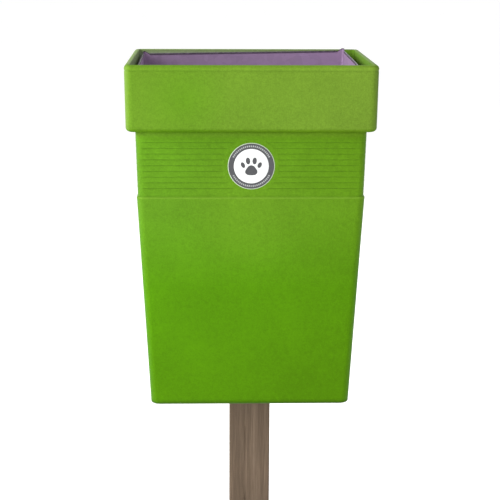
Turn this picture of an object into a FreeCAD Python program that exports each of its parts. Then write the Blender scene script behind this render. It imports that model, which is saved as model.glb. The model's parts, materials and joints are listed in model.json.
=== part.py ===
import FreeCAD, Part
import math
import os

# Open-top dog waste bin on a square timber post.
# The bin is a one-piece plastic shell with an overhanging collar, a lapped band and a round label.
# Inside stands a folded sheet-steel liner with two drop handles, which lifts out for emptying.
# Frame: +Z up, the bin faces -Y, +X is to the right of someone facing it.
# Origin: centre of the post's foot, on the ground line. All sizes are in millimetres and degrees.

Vec = FreeCAD.Vector
X_AXIS = Vec(1, 0, 0)
Y_AXIS = Vec(0, 1, 0)
Z_AXIS = Vec(0, 0, 1)

# ---- post ----
POST_SIDE = 76.0
POST_TOP_Z = 1040.0
POST_ARRIS = 2.0
POST_TOP_BEVEL = 7.0

# ---- bin: place and main sizes ----
RIM_Z = 1065.0
BIN_X = -8.0                      # the bin hangs a little to the left of the post's centre line
BRACKET_T = 4.0
BACK_Y = -(POST_SIDE / 2 + BRACKET_T)
BIN_HEIGHT = 568.0
BASE_Z = RIM_Z - BIN_HEIGHT

# ---- collar ----
COLLAR_W = 400.0
COLLAR_D = 318.0
COLLAR_DRAFT = 0.7
COLLAR_H = 105.6
COLLAR_WALL = 9.0
COLLAR_R_FRONT = 13.0
COLLAR_R_BACK = 10.0
RIM_ROUND = 5.5
RIM_INNER_ROUND = 1.5
COLLAR_FOOT_ROUND = 7.5
OVERHANG = 15.6                   # how far the band's top lies inside the rim's outline

# ---- lapped band ----
BAND_DRAFT = 1.4
BODY_R_FRONT = 12.0
BODY_R_BACK = 9.0
LAP_FIRST = 122.9                 # below the rim
LAP_PITCH = 9.3
LAP_COUNT = 9
LAP_OUT = 0.8                     # how far each lap's lower lip stands out
STEP_TOP = 210.9                  # below the rim
STEP_OUT = 1.8

# ---- lower body ----
BODY_DRAFT = 2.95
BODY_WALL = 5.0
BACK_WALL = 6.0
FLOOR_T = 5.0
BASE_ROUND = 5.0
INNER_R_MIN = 3.0
PAD_SIDE = 40.0
PAD_H = 4.0
PAD_INSET = 30.0
DRAIN_R = 6.0
DRAIN_X = 90.0
DRAIN_Y = 70.0

# ---- label ----
LABEL_DROP = 161.1                # centre, below the rim
LABEL_PAD_R = 46.5
LABEL_R = 37.5
LABEL_T = 0.5
PRINT_T = 0.15
RING_OUT_R = 36.5
RING_IN_R = 27.9
# paw print, as (x, y, half width, half height); the toes also lean outwards by an angle
PAW_HEEL = ((0.0, -8.0, 9.6, 6.6), (0.0, -4.2, 5.8, 6.4))
PAW_TOES = ((5.3, 8.5, 3.5, 5.5, 6.0), (13.4, 1.8, 3.1, 4.9, 26.0))

# ---- liner ----
SHEET = 1.0
LINER_TOP = 7.0                   # hem line, below the rim
LINER_HALF_W = 178.0
LINER_X = BIN_X - 6.0             # the loose liner sits a little to the left in the shell
LINER_DEPTH = 279.0
LINER_BACK_GAP = 12.0
LINER_DRAFT = 3.3
LINER_R = 4.0
LINER_STANDOFF = 0.3
HEM_H = 13.0
HEM_GAP = 0.2
TIP_RISE = 5.5
TIP_RUN = 9.0
PAN_FLANGE = 16.0
PAN_GAP = 0.1
SEAM_W = 20.0
SEAM_INSET = 12.0
SEAM_GAP = 2.0                    # between the seam strip and the hem
SEAM_RIVETS = 6
SEAM_RIVET_END = 20.0
PAN_RIVET_X = 90.0
PAN_RIVET_Y = 70.0
TRIM_MARGIN = 20.0

# ---- drop handles ----
WIRE_R = 2.5
HANDLE_HALF_W = 46.0
HANDLE_DROP = 66.0
HANDLE_BEND_R = 9.0
HANDLE_PIVOT_DROP = 42.0          # hinge line, below the rim
PIVOT_STANDOFF = 7.5
PIVOT_CLEARANCE = 0.06
KNUCKLE_R = 4.6
KNUCKLE_HALF_L = 22.0
CLIP_T = 1.5
CLIP_HALF_L = 38.0
CLIP_H = 26.0
CLIP_CORNER_R = 3.0
CLIP_RIVET_INSET = 8.0

# ---- rivets ----
RIVET_HEAD_R = 4.5
RIVET_HEAD_H = 1.4
RIVET_R = 2.4
RIVET_TAIL_R = 3.5
RIVET_HOLE_L = 8.0
RIVET_HOLE_GAP = 0.05

# ---- post brackets, backing straps and their fasteners ----
BRACKET_DROPS = (150.0, 450.0)    # centre lines, below the rim
BRACKET_NAMES = ("upper", "lower")
BRACKET_HALF_W = 100.0
BRACKET_H = 50.0
EAR_LENGTH = 62.0
SLOT_X = 75.0
SLOT_HALF_L = 14.0
SLOT_R = 4.5
BRACKET_CORNER_R = 6.0
STRAP_HALF_W = 105.0
STRAP_H = 40.0
STRAP_T = 3.0
BOLT_X = 75.0
BOLT_R = 4.0
BOLT_HOLE_R = 4.5
BOLT_STICK_OUT = 3.0
CUP_HEAD_R = 10.0
CUP_HEAD_H = 4.6
WASHER_R = 8.5
WASHER_T = 1.6
NUT_AF = 13.0
NUT_H = 6.5
SCREW_Y = 6.0
SCREW_HEAD_H = 5.5
SCREW_LENGTH = 30.0
SCREW_TIP = 6.0
HOLE_GAP = 0.05

OVERCUT = 1.0                     # how far a cutting shape runs past the surface
TOLERANCE = 0.01


def save(shape, node):
    os.makedirs("parts", exist_ok=True)
    shape.exportStep("parts/" + node + ".step")


def slope(angle, run):
    return run * math.tan(math.radians(angle))


def polygon_face(points):
    return Part.Face(Part.makePolygon(points + [points[0]]))


def faceted_solid(bottom, top):
    """Solid with flat sides between two rings of points."""
    faces = [polygon_face(bottom[::-1]), polygon_face(top)]
    count = len(bottom)
    for i in range(count):
        j = (i + 1) % count
        faces.append(polygon_face([bottom[i], bottom[j], top[j], top[i]]))
    return Part.makeSolid(Part.makeShell(faces))


def tapered_block(cx, low, high, y_back, r_front, r_back):
    """Block with an upright back between two levels, each given as (z, half width, front y)."""
    rings = []
    for z, half_w, y_front in (low, high):
        rings.append([Vec(cx - half_w, y_front, z), Vec(cx + half_w, y_front, z),
                      Vec(cx + half_w, y_back, z), Vec(cx - half_w, y_back, z)])
    block = faceted_solid(rings[0], rings[1])
    y_middle = (low[2] + y_back) / 2
    for at_front, r in ((True, r_front), (False, r_back)):
        corners = []
        for edge in block.Edges:
            upright = edge.BoundBox.ZLength > (high[0] - low[0]) / 2
            if upright and (edge.CenterOfMass.y < y_middle) == at_front:
                corners.append(edge)
        block = block.makeFillet(r, corners)
    return block


def box(x0, x1, y0, y1, z0, z1):
    return Part.makeBox(x1 - x0, y1 - y0, z1 - z0, Vec(x0, y0, z0))


def rod(r, length, base, axis):
    return Part.makeCylinder(r, length, base, axis)


def placed(shape, base, axis):
    shape.Placement = FreeCAD.Placement(base, FreeCAD.Rotation(Z_AXIS, axis))
    return shape


def hexagon(across_flats, height, base, axis):
    corner_r = across_flats / math.sqrt(3)
    points = []
    for i in range(7):
        a = math.radians(60 * i)
        points.append(Vec(corner_r * math.cos(a), corner_r * math.sin(a), 0))
    return placed(Part.Face(Part.makePolygon(points)).extrude(Vec(0, 0, height)), base, axis)


def horizontal_edges(shape, z):
    found = []
    for edge in shape.Edges:
        low, high = edge.BoundBox.ZMin, edge.BoundBox.ZMax
        if abs(low - z) < TOLERANCE and abs(high - z) < TOLERANCE:
            found.append(edge)
    return found


# ---- sizes of the shell at a given drop below the rim ----

def collar_half_w(drop):
    return COLLAR_W / 2 - slope(COLLAR_DRAFT, drop)


def collar_depth(drop):
    return COLLAR_D - slope(COLLAR_DRAFT, drop)


def band_inset(drop):
    """How far the plain band surface lies inside the rim's outline."""
    return OVERHANG + slope(BAND_DRAFT, drop - COLLAR_H)


def lower_inset(drop):
    """The same for the lower body, which stands a little proud of the band."""
    return band_inset(STEP_TOP) - STEP_OUT + slope(BODY_DRAFT, drop - STEP_TOP)


def collar_block(drop_low, drop_high, inset=0.0, back=0.0):
    """Part of the collar's outline between two drops, drawn in by the inset."""
    ends = []
    for drop in (drop_low, drop_high):
        ends.append((RIM_Z - drop, collar_half_w(drop) - inset, BACK_Y - collar_depth(drop) + inset))
    r_back = max(COLLAR_R_BACK - inset, INNER_R_MIN)
    return tapered_block(BIN_X, ends[0], ends[1], BACK_Y - back, COLLAR_R_FRONT - inset, r_back)


def body_block(surface, drop_low, drop_high, inset_low=0.0, inset_high=0.0, back=0.0):
    """Part of the body between two drops; surface is band_inset or lower_inset."""
    ends = []
    for drop, inward in ((drop_low, inset_low), (drop_high, inset_high)):
        total = surface(drop) + inward
        ends.append((RIM_Z - drop, COLLAR_W / 2 - total, BACK_Y - COLLAR_D + total))
    shrink = max(inset_low, 0.0)
    r_back = max(BODY_R_BACK - shrink, INNER_R_MIN)
    return tapered_block(BIN_X, ends[0], ends[1], BACK_Y - back, BODY_R_FRONT - shrink, r_back)


def make_collar():
    block = collar_block(COLLAR_H, 0.0)
    rim = [e for e in horizontal_edges(block, RIM_Z) if e.BoundBox.YMin < BACK_Y - TOLERANCE]
    block = block.makeFillet(RIM_ROUND, rim)
    foot = horizontal_edges(block, RIM_Z - COLLAR_H)
    foot = [e for e in foot if e.BoundBox.YMin < BACK_Y - COLLAR_R_BACK]
    return block.makeFillet(COLLAR_FOOT_ROUND, foot)


def make_band():
    """Laps that each slope out to a lip, then a plain strip."""
    lips = [LAP_FIRST + i * LAP_PITCH for i in range(LAP_COUNT)]
    tops = [COLLAR_H - OVERCUT] + lips[:-1]
    blocks = [body_block(band_inset, lip, top, -LAP_OUT, 0.0) for top, lip in zip(tops, lips)]
    blocks.append(body_block(band_inset, STEP_TOP, lips[-1]))
    return blocks


def make_lower_body():
    block = body_block(lower_inset, BIN_HEIGHT, STEP_TOP)
    base = [e for e in horizontal_edges(block, BASE_Z) if e.BoundBox.YMin < BACK_Y - TOLERANCE]
    block = block.makeFillet(BASE_ROUND, base)
    top = horizontal_edges(block, RIM_Z - STEP_TOP)
    ledge = [e for e in top if e.BoundBox.YMin < BACK_Y - TOLERANCE]
    return block.makeChamfer(STEP_OUT, ledge)


def make_cavity():
    collar_floor = COLLAR_H - BODY_WALL
    body_top = collar_floor - OVERCUT
    wide = collar_block(collar_floor, -OVERCUT, COLLAR_WALL, BACK_WALL)
    upper = body_block(band_inset, STEP_TOP, body_top, BODY_WALL, BODY_WALL, BACK_WALL)
    lower_top = STEP_TOP + BODY_WALL
    lower = body_block(lower_inset, BIN_HEIGHT - FLOOR_T, lower_top, BODY_WALL, BODY_WALL, BACK_WALL)
    link = body_block(band_inset, lower_top, STEP_TOP - OVERCUT, BODY_WALL, BODY_WALL, BACK_WALL)
    return wide.multiFuse([upper, link, lower])


def label_frame():
    """Centre of the label's seat on the band and the outward normal there."""
    normal = Vec(0, -math.cos(math.radians(BAND_DRAFT)), -math.sin(math.radians(BAND_DRAFT)))
    seat_y = BACK_Y - COLLAR_D + band_inset(LABEL_DROP) - LAP_OUT
    return Vec(BIN_X, seat_y, RIM_Z - LABEL_DROP), normal


def mouth_edges(shell):
    """Inner edges of the rim."""
    x_reach = COLLAR_W / 2 - COLLAR_WALL + TOLERANCE
    y_front = BACK_Y - COLLAR_D + COLLAR_WALL - TOLERANCE
    y_back = BACK_Y - BACK_WALL + TOLERANCE
    found = []
    for edge in horizontal_edges(shell, RIM_Z):
        reach = edge.BoundBox
        in_width = reach.XMin > BIN_X - x_reach and reach.XMax < BIN_X + x_reach
        if in_width and reach.YMin > y_front and reach.YMax < y_back:
            found.append(edge)
    return found


def make_shell():
    seat, normal = label_frame()
    sink = BODY_WALL / 2
    label_pad = rod(LABEL_PAD_R, sink, seat - normal * sink, normal)
    shell = make_collar().multiFuse(make_band() + [make_lower_body(), label_pad])
    shell = shell.cut(make_cavity()).removeSplitter()
    shell = shell.makeFillet(RIM_INNER_ROUND, mouth_edges(shell))
    floor_z = BASE_Z + FLOOR_T
    for side in (-1, 1):
        for y in liner_pad_rows():
            x = BIN_X + side * (LINER_HALF_W - slope(LINER_DRAFT, BIN_HEIGHT) - PAD_INSET)
            half = PAD_SIDE / 2
            pad = box(x - half, x + half, y - half, y + half, floor_z - OVERCUT, floor_z + PAD_H)
            shell = shell.fuse(pad)
    cutters = []
    middle_y = sum(liner_pad_rows()) / 2
    for side_x in (-1, 1):
        for side_y in (-1, 1):
            base = Vec(BIN_X + side_x * DRAIN_X, middle_y + side_y * DRAIN_Y, BASE_Z - OVERCUT)
            cutters.append(rod(DRAIN_R, FLOOR_T + 2 * OVERCUT, base, Z_AXIS))
    for drop in BRACKET_DROPS:
        for x in bolt_xs():
            base = Vec(x, BACK_Y - BACK_WALL - OVERCUT, RIM_Z - drop)
            cutters.append(rod(BOLT_HOLE_R, BACK_WALL + 2 * OVERCUT, base, Y_AXIS))
    return shell.cut(Part.makeCompound(cutters))


# ---- label ----

def make_label_disc():
    seat, normal = label_frame()
    return rod(LABEL_R, LABEL_T, seat, normal)


def ellipse_slab(x, y, half_w, half_h, turn):
    """Inked ellipse; x to the right and y up as one reads the label."""
    long_side, short_side = max(half_w, half_h), min(half_w, half_h)
    curve = Part.Ellipse(Vec(0, 0, 0), long_side, short_side)
    face = Part.Face(Part.Wire([curve.toShape()]))
    spin = turn if half_w >= half_h else turn + 90
    face.rotate(Vec(0, 0, 0), Z_AXIS, spin)
    face.translate(Vec(x, y, 0))
    return face.extrude(Vec(0, 0, PRINT_T))


def make_label_print():
    """Ink on the label: a plain ring and a paw print."""
    middle = Vec(0, 0, 0)
    ring = rod(RING_OUT_R, PRINT_T, middle, Z_AXIS).cut(rod(RING_IN_R, PRINT_T, middle, Z_AXIS))
    lobes = [ellipse_slab(*lobe, 0) for lobe in PAW_HEEL]
    heel = lobes[0].multiFuse(lobes[1:]).removeSplitter()
    toes = []
    for x, y, half_w, half_h, lean in PAW_TOES:
        for side in (-1, 1):
            toes.append(ellipse_slab(side * x, y, half_w, half_h, side * -lean))
    ink = Part.makeCompound([ring, heel] + toes)
    seat, normal = label_frame()
    up = normal.cross(X_AXIS)
    turn = FreeCAD.Rotation(X_AXIS, up, normal, "ZXY")
    ink.Placement = FreeCAD.Placement(seat + normal * LABEL_T, turn)
    return ink


# ---- liner ----

LINER_BACK_Y = BACK_Y - BACK_WALL - LINER_BACK_GAP
LINER_TOP_Z = RIM_Z - LINER_TOP
LINER_BASE_Z = BASE_Z + FLOOR_T + PAD_H + LINER_STANDOFF


def liner_half_w(z):
    return LINER_HALF_W - slope(LINER_DRAFT, LINER_TOP_Z - z)


def liner_front_y(z):
    return LINER_BACK_Y - LINER_DEPTH + slope(LINER_DRAFT, LINER_TOP_Z - z)


def liner_pad_rows():
    return (liner_front_y(LINER_BASE_Z) + PAD_INSET, LINER_BACK_Y - PAD_INSET)


def liner_block(z0, z1, inset=0.0):
    """The liner's tapered outline between two levels, drawn in by the inset."""
    ends = [(z, liner_half_w(z) - inset, liner_front_y(z) + inset) for z in (z0, z1)]
    r = max(LINER_R - inset, 1.0)
    return tapered_block(LINER_X, ends[0], ends[1], LINER_BACK_Y - inset, r, r)


def liner_layer(z0, z1, outer, inner):
    """Tapered tube between two insets from the liner's outer face."""
    return liner_block(z0, z1, outer).cut(liner_block(z0 - OVERCUT, z1 + OVERCUT, inner))


def tip_profile(half_span):
    """Outline of what is trimmed off one panel between its two corner tips."""
    z_hem, z_tip = LINER_TOP_Z, LINER_TOP_Z + TIP_RISE
    flat = half_span - TIP_RUN
    return (
        (-half_span, z_tip),
        (-flat, z_hem),
        (flat, z_hem),
        (half_span, z_tip),
        (half_span, z_tip + 2 * OVERCUT),
        (-half_span, z_tip + 2 * OVERCUT),
    )


def make_liner_trim():
    """The long notches that leave a pointed tip at each corner of the sheet."""
    half_w = liner_half_w(LINER_TOP_Z)
    y_front = liner_front_y(LINER_TOP_Z)
    y_middle = (y_front + LINER_BACK_Y) / 2
    across = 2 * (half_w + TRIM_MARGIN)
    along = LINER_DEPTH + 2 * TRIM_MARGIN
    y_start = y_middle - along / 2
    x_start = LINER_X - across / 2
    long_points = [Vec(LINER_X + u, y_start, v) for u, v in tip_profile(half_w - SHEET)]
    side_points = [Vec(x_start, y_middle + u, v) for u, v in tip_profile(LINER_DEPTH / 2 - SHEET)]
    long_notch = polygon_face(long_points).extrude(Vec(0, along, 0))
    return long_notch.fuse(polygon_face(side_points).extrude(Vec(across, 0, 0)))


def make_hem():
    """Folded-out strip along the top of each panel, stopping short of the corner tips."""
    strip = liner_layer(LINER_TOP_Z - HEM_H, LINER_TOP_Z, -HEM_GAP - SHEET, -HEM_GAP)
    bead = liner_layer(LINER_TOP_Z - SHEET, LINER_TOP_Z, -HEM_GAP - SHEET, SHEET / 2)
    hem = strip.fuse(bead)
    half_w = liner_half_w(LINER_TOP_Z)
    y_front = liner_front_y(LINER_TOP_Z)
    clear = TIP_RUN + LINER_R
    ends = ((y_front - TRIM_MARGIN, y_front + clear), (LINER_BACK_Y - clear, LINER_BACK_Y + TRIM_MARGIN))
    z0, z1 = LINER_TOP_Z - 2 * HEM_H, LINER_TOP_Z + HEM_H
    for side in (-1, 1):
        x0 = LINER_X + side * (half_w + TRIM_MARGIN)
        x1 = LINER_X + side * (half_w - clear)
        for y0, y1 in ends:
            hem = hem.cut(box(min(x0, x1), max(x0, x1), y0, y1, z0, z1))
    return hem


def make_liner_wrap():
    """Four panels of thin sheet with a hem, closed by a riveted seam strip at the back."""
    wall = liner_layer(LINER_BASE_Z, LINER_TOP_Z + TIP_RISE, 0.0, SHEET).cut(make_liner_trim())
    seam = box(*seam_x(), LINER_BACK_Y - SHEET / 2, LINER_BACK_Y + SHEET, LINER_BASE_Z, seam_top())
    wrap = wall.multiFuse([make_hem(), seam]).removeSplitter()
    holes = [rivet_hole(base, axis) for base, axis in seam_rivets() + pan_rivets()]
    holes += [rivet_hole(base, axis) for side in (-1, 1) for base, axis in clip_rivets(side)]
    return wrap.cut(Part.makeCompound(holes))


def seam_x():
    x1 = LINER_X - liner_half_w(LINER_BASE_Z) + SEAM_INSET + SEAM_W
    return x1 - SEAM_W, x1


def seam_top():
    return LINER_TOP_Z - HEM_H - SEAM_GAP


def make_liner_base():
    """Tray with an upturned flange, standing inside the wrap."""
    top = LINER_BASE_Z + PAN_FLANGE
    outer = liner_block(LINER_BASE_Z, top, SHEET + PAN_GAP)
    inside = liner_block(LINER_BASE_Z + SHEET, top + OVERCUT, 2 * SHEET + PAN_GAP)
    pan = outer.cut(inside)
    return pan.cut(Part.makeCompound([rivet_hole(base, axis) for base, axis in pan_rivets()]))


# A rivet is given by the point where its outer head meets the sheet, and the way that head faces.

def seam_rivets():
    x = sum(seam_x()) / 2
    y = LINER_BACK_Y + SHEET
    z = LINER_BASE_Z + 2 * PAN_FLANGE
    pitch = (seam_top() - SEAM_RIVET_END - z) / (SEAM_RIVETS - 1)
    return [(Vec(x, y, z + i * pitch), Y_AXIS) for i in range(SEAM_RIVETS)]


def side_normal(side):
    a = math.radians(LINER_DRAFT)
    return Vec(side * math.cos(a), 0, -math.sin(a))


def pan_rivets():
    z = LINER_BASE_Z + PAN_FLANGE / 2
    a = math.radians(LINER_DRAFT)
    y_front = liner_front_y(z)
    y_middle = (y_front + LINER_BACK_Y) / 2
    front_normal = Vec(0, -math.cos(a), -math.sin(a))
    found = []
    for i in (-1, 0, 1):
        x = LINER_X + PAN_RIVET_X * i
        found.append((Vec(x, LINER_BACK_Y, z), Y_AXIS))
        found.append((Vec(x, y_front, z), front_normal))
    for side in (-1, 1):
        x = LINER_X + side * liner_half_w(z)
        for i in (-1, 1):
            found.append((Vec(x, y_middle + PAN_RIVET_Y * i, z), side_normal(side)))
    return found


def rivet_hole(base, axis):
    """Hole that starts outside the sheets and runs well past the inner one."""
    start = base + axis * 2 * OVERCUT
    return rod(RIVET_R + RIVET_HOLE_GAP, RIVET_HOLE_L, start, axis * -1)


def domed_head(head_r, head_h, below):
    """Low dome above z = 0 with the given outline below it, turned about the Z axis."""
    dome_r = (head_r ** 2 + head_h ** 2) / (2 * head_h)
    middle = head_r / 2
    rise = math.sqrt(dome_r ** 2 - middle ** 2) - (dome_r - head_h)
    arc = Part.Arc(Vec(head_r, 0, 0), Vec(middle, 0, rise), Vec(0, 0, head_h)).toShape()
    rest = Part.makePolygon([Vec(0, 0, head_h)] + below + [Vec(head_r, 0, 0)])
    outline = Part.Wire([arc] + rest.Edges)
    return Part.Face(outline).revolve(Vec(0, 0, 0), Z_AXIS, 360)


def make_rivet(base, axis, grip):
    """Low domed head outside, shank through the sheets, and a set head inside."""
    end = -grip - RIVET_HEAD_H
    below = [Vec(0, 0, end), Vec(RIVET_TAIL_R, 0, end), Vec(RIVET_TAIL_R, 0, -grip)]
    below += [Vec(RIVET_R, 0, -grip), Vec(RIVET_R, 0, 0)]
    return placed(domed_head(RIVET_HEAD_R, RIVET_HEAD_H, below), base, axis)


def make_liner_rivets():
    rivets = [make_rivet(base, axis, 2 * SHEET) for base, axis in seam_rivets()]
    rivets += [make_rivet(base, axis, 2 * SHEET + PAN_GAP) for base, axis in pan_rivets()]
    return Part.makeCompound(rivets)


# ---- drop handles and their clips ----

PIVOT_Z = RIM_Z - HANDLE_PIVOT_DROP
HANDLE_Y = LINER_BACK_Y - LINER_DEPTH / 2


def pivot_point(side):
    inner_face = liner_half_w(PIVOT_Z) - SHEET
    return Vec(LINER_X + side * (inner_face - PIVOT_STANDOFF), HANDLE_Y, PIVOT_Z)


def clip_rivets(side):
    z = PIVOT_Z + CLIP_H / 4
    x = LINER_X + side * liner_half_w(z)
    offset = CLIP_HALF_L - CLIP_RIVET_INSET
    return [(Vec(x, HANDLE_Y + i * offset, z), side_normal(side)) for i in (-1, 1)]


def make_clip(side):
    """Plate riveted inside the side panel, with a knuckle that the handle turns in."""
    pivot = pivot_point(side)
    plate = box(0, CLIP_T, -CLIP_HALF_L, CLIP_HALF_L, -CLIP_H / 2, CLIP_H / 2)
    corners = [e for e in plate.Edges if abs(e.BoundBox.XLength - CLIP_T) < TOLERANCE]
    plate = plate.makeFillet(CLIP_CORNER_R, corners)
    inner_x = liner_half_w(PIVOT_Z) - SHEET
    plate.translate(Vec(inner_x - CLIP_T, HANDLE_Y, PIVOT_Z))
    plate.rotate(Vec(inner_x, HANDLE_Y, PIVOT_Z), Y_AXIS, LINER_DRAFT)
    if side < 0:
        plate = plate.mirror(Vec(0, 0, 0), X_AXIS)
    plate.translate(Vec(LINER_X, 0, 0))
    knuckle_base = pivot - Y_AXIS * KNUCKLE_HALF_L
    knuckle = rod(KNUCKLE_R, 2 * KNUCKLE_HALF_L, knuckle_base, Y_AXIS)
    reach = pivot.x + side * (PIVOT_STANDOFF - CLIP_T / 2)
    y0, y1 = HANDLE_Y - KNUCKLE_HALF_L, HANDLE_Y + KNUCKLE_HALF_L
    x0, x1 = sorted((pivot.x, reach))
    web = box(x0, x1, y0, y1, PIVOT_Z - KNUCKLE_R, PIVOT_Z + KNUCKLE_R)
    clip = plate.multiFuse([knuckle, web]).removeSplitter()
    bore_length = 2 * (KNUCKLE_HALF_L + OVERCUT)
    bore = rod(WIRE_R + PIVOT_CLEARANCE, bore_length, knuckle_base - Y_AXIS * OVERCUT, Y_AXIS)
    holes = [rivet_hole(base, axis) for base, axis in clip_rivets(side)]
    return clip.cut(Part.makeCompound([bore] + holes))


def make_clip_rivets():
    grip = SHEET + CLIP_T
    places = clip_rivets(-1) + clip_rivets(1)
    return Part.makeCompound([make_rivet(base, axis, grip) for base, axis in places])


def make_handle(side):
    """Closed wire loop that hangs from its top bar."""
    pivot = pivot_point(side)
    r = HANDLE_BEND_R
    centres = (
        (HANDLE_HALF_W - r, -r, 0),
        (-HANDLE_HALF_W + r, -r, 90),
        (-HANDLE_HALF_W + r, -HANDLE_DROP + r, 180),
        (HANDLE_HALF_W - r, -HANDLE_DROP + r, 270),
    )
    edges = []
    ends = []
    for cy, cz, start in centres:
        points = []
        for turn in (0, 45, 90):
            a = math.radians(start + turn)
            points.append(pivot + Vec(0, cy + r * math.cos(a), cz + r * math.sin(a)))
        edges.append(Part.Arc(points[0], points[1], points[2]).toShape())
        ends.append((points[0], points[2]))
    path = []
    for i in range(4):
        path.append(edges[i])
        path.append(Part.makeLine(ends[i][1], ends[(i + 1) % 4][0]))
    solids = []
    for edge in path:
        start = edge.valueAt(edge.FirstParameter)
        tangent = edge.tangentAt(edge.FirstParameter)
        circle = Part.Wire([Part.makeCircle(WIRE_R, start, tangent)])
        solids.append(Part.Wire([edge]).makePipeShell([circle], True, False))
    return solids[0].multiFuse(solids[1:]).removeSplitter()


# ---- post, brackets, straps and fasteners ----

def bolt_xs():
    return (BIN_X - BOLT_X, BIN_X + BOLT_X)


def screw_places():
    """Where each coach screw's washer meets a bracket ear, and the way the head faces."""
    face = POST_SIDE / 2 + BRACKET_T
    found = []
    for drop in BRACKET_DROPS:
        for side in (-1, 1):
            found.append((Vec(side * face, SCREW_Y, RIM_Z - drop), Vec(side, 0, 0)))
    return found


def post_section(half, z):
    """Square outline of the post with its corners planed off."""
    inner = half - POST_ARRIS
    points = []
    for sx, sy in ((1, -1), (1, 1), (-1, 1), (-1, -1)):
        pair = [Vec(sx * inner, sy * half, z), Vec(sx * half, sy * inner, z)]
        points += pair if sx * sy < 0 else pair[::-1]
    return points


def make_post():
    half = POST_SIDE / 2
    shoulder = POST_TOP_Z - POST_TOP_BEVEL
    post = faceted_solid(post_section(half, 0), post_section(half, shoulder))
    crown = faceted_solid(post_section(half, shoulder), post_section(half - POST_TOP_BEVEL, POST_TOP_Z))
    post = post.fuse(crown).removeSplitter()
    holes = []
    for place, axis in screw_places():
        depth = SCREW_LENGTH + HOLE_GAP
        holes.append(rod(BOLT_R + HOLE_GAP, depth, place - axis * (BRACKET_T + depth), axis))
    return post.cut(Part.makeCompound(holes))


def make_bracket(drop):
    """Flat plate behind the bin with two ears that clasp the post; slots take the shell's bolts."""
    z = RIM_Z - drop
    half_h = BRACKET_H / 2
    half_post = POST_SIDE / 2
    plate = box(-BRACKET_HALF_W, BRACKET_HALF_W, BACK_Y, -half_post, z - half_h, z + half_h)
    corners = [e for e in plate.Edges if abs(e.BoundBox.YLength - BRACKET_T) < TOLERANCE]
    bracket = plate.makeFillet(BRACKET_CORNER_R, corners)
    for side in (-1, 1):
        x0, x1 = sorted((side * half_post, side * (half_post + BRACKET_T)))
        y0, y1 = -half_post - BRACKET_T / 2, -half_post + EAR_LENGTH
        ear = box(x0, x1, y0, y1, z - half_h, z + half_h)
        across = [e for e in ear.Edges if abs(e.BoundBox.XLength - BRACKET_T) < TOLERANCE]
        far_end = [e for e in across if e.BoundBox.YMin > 0]
        bracket = bracket.fuse(ear.makeFillet(BRACKET_CORNER_R, far_end))
    straight = SLOT_HALF_L - SLOT_R
    y0, y1 = BACK_Y - OVERCUT, BACK_Y + BRACKET_T + OVERCUT
    cutters = []
    for side in (-1, 1):
        x = side * SLOT_X
        for end in (-1, 1):
            cutters.append(rod(SLOT_R, y1 - y0, Vec(x + end * straight, y0, z), Y_AXIS))
        cutters.append(box(x - straight, x + straight, y0, y1, z - SLOT_R, z + SLOT_R))
        start = Vec(side * (half_post - BRACKET_T), SCREW_Y, z)
        cutters.append(rod(BOLT_HOLE_R, 3 * BRACKET_T, start, Vec(side, 0, 0)))
    slots = cutters[0].multiFuse(cutters[1:])
    return bracket.cut(slots).removeSplitter()


def make_strap(drop):
    z = RIM_Z - drop
    y1 = BACK_Y - BACK_WALL
    y0 = y1 - STRAP_T
    half_h = STRAP_H / 2
    strap = box(BIN_X - STRAP_HALF_W, BIN_X + STRAP_HALF_W, y0, y1, z - half_h, z + half_h)
    corners = [e for e in strap.Edges if abs(e.BoundBox.YLength - STRAP_T) < TOLERANCE]
    strap = strap.makeFillet(BRACKET_CORNER_R, corners)
    length = STRAP_T + 2 * OVERCUT
    holes = [rod(BOLT_R + HOLE_GAP, length, Vec(x, y0 - OVERCUT, z), Y_AXIS) for x in bolt_xs()]
    return strap.cut(Part.makeCompound(holes))


def bolt_places():
    """Underside of each cup head, on the strap's inner face."""
    y = BACK_Y - BACK_WALL - STRAP_T
    return [Vec(x, y, RIM_Z - drop) for drop in BRACKET_DROPS for x in bolt_xs()]


def make_bolts():
    length = STRAP_T + BACK_WALL + BRACKET_T + WASHER_T + NUT_H + BOLT_STICK_OUT
    below = [Vec(0, 0, -length), Vec(BOLT_R, 0, -length), Vec(BOLT_R, 0, 0)]
    bolts = []
    for place in bolt_places():
        bolts.append(placed(domed_head(CUP_HEAD_R, CUP_HEAD_H, below), place, Y_AXIS * -1))
    return Part.makeCompound(bolts)


def washer(base, axis):
    return rod(WASHER_R, WASHER_T, base, axis).cut(rod(BOLT_R + HOLE_GAP, WASHER_T, base, axis))


def make_bolt_washers():
    offset = STRAP_T + BACK_WALL + BRACKET_T
    return Part.makeCompound([washer(place + Y_AXIS * offset, Y_AXIS) for place in bolt_places()])


def make_nuts():
    offset = STRAP_T + BACK_WALL + BRACKET_T + WASHER_T
    nuts = []
    for place in bolt_places():
        base = place + Y_AXIS * offset
        bore = rod(BOLT_R + HOLE_GAP, NUT_H, base, Y_AXIS)
        nuts.append(hexagon(NUT_AF, NUT_H, base, Y_AXIS).cut(bore))
    return Part.makeCompound(nuts)


def make_coach_screws():
    screws = []
    for place, axis in screw_places():
        head = hexagon(NUT_AF, SCREW_HEAD_H, place + axis * WASHER_T, axis)
        straight = WASHER_T + BRACKET_T + SCREW_LENGTH - SCREW_TIP
        shank = rod(BOLT_R, straight, place + axis * WASHER_T - axis * straight, axis)
        tip_base = place - axis * (BRACKET_T + SCREW_LENGTH - SCREW_TIP)
        tip = Part.makeCone(BOLT_R, BOLT_R / 4, SCREW_TIP, tip_base, axis * -1)
        screws.append(head.multiFuse([shank, tip]).removeSplitter())
    return Part.makeCompound(screws)


def make_screw_washers():
    return Part.makeCompound([washer(place, axis) for place, axis in screw_places()])


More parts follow.
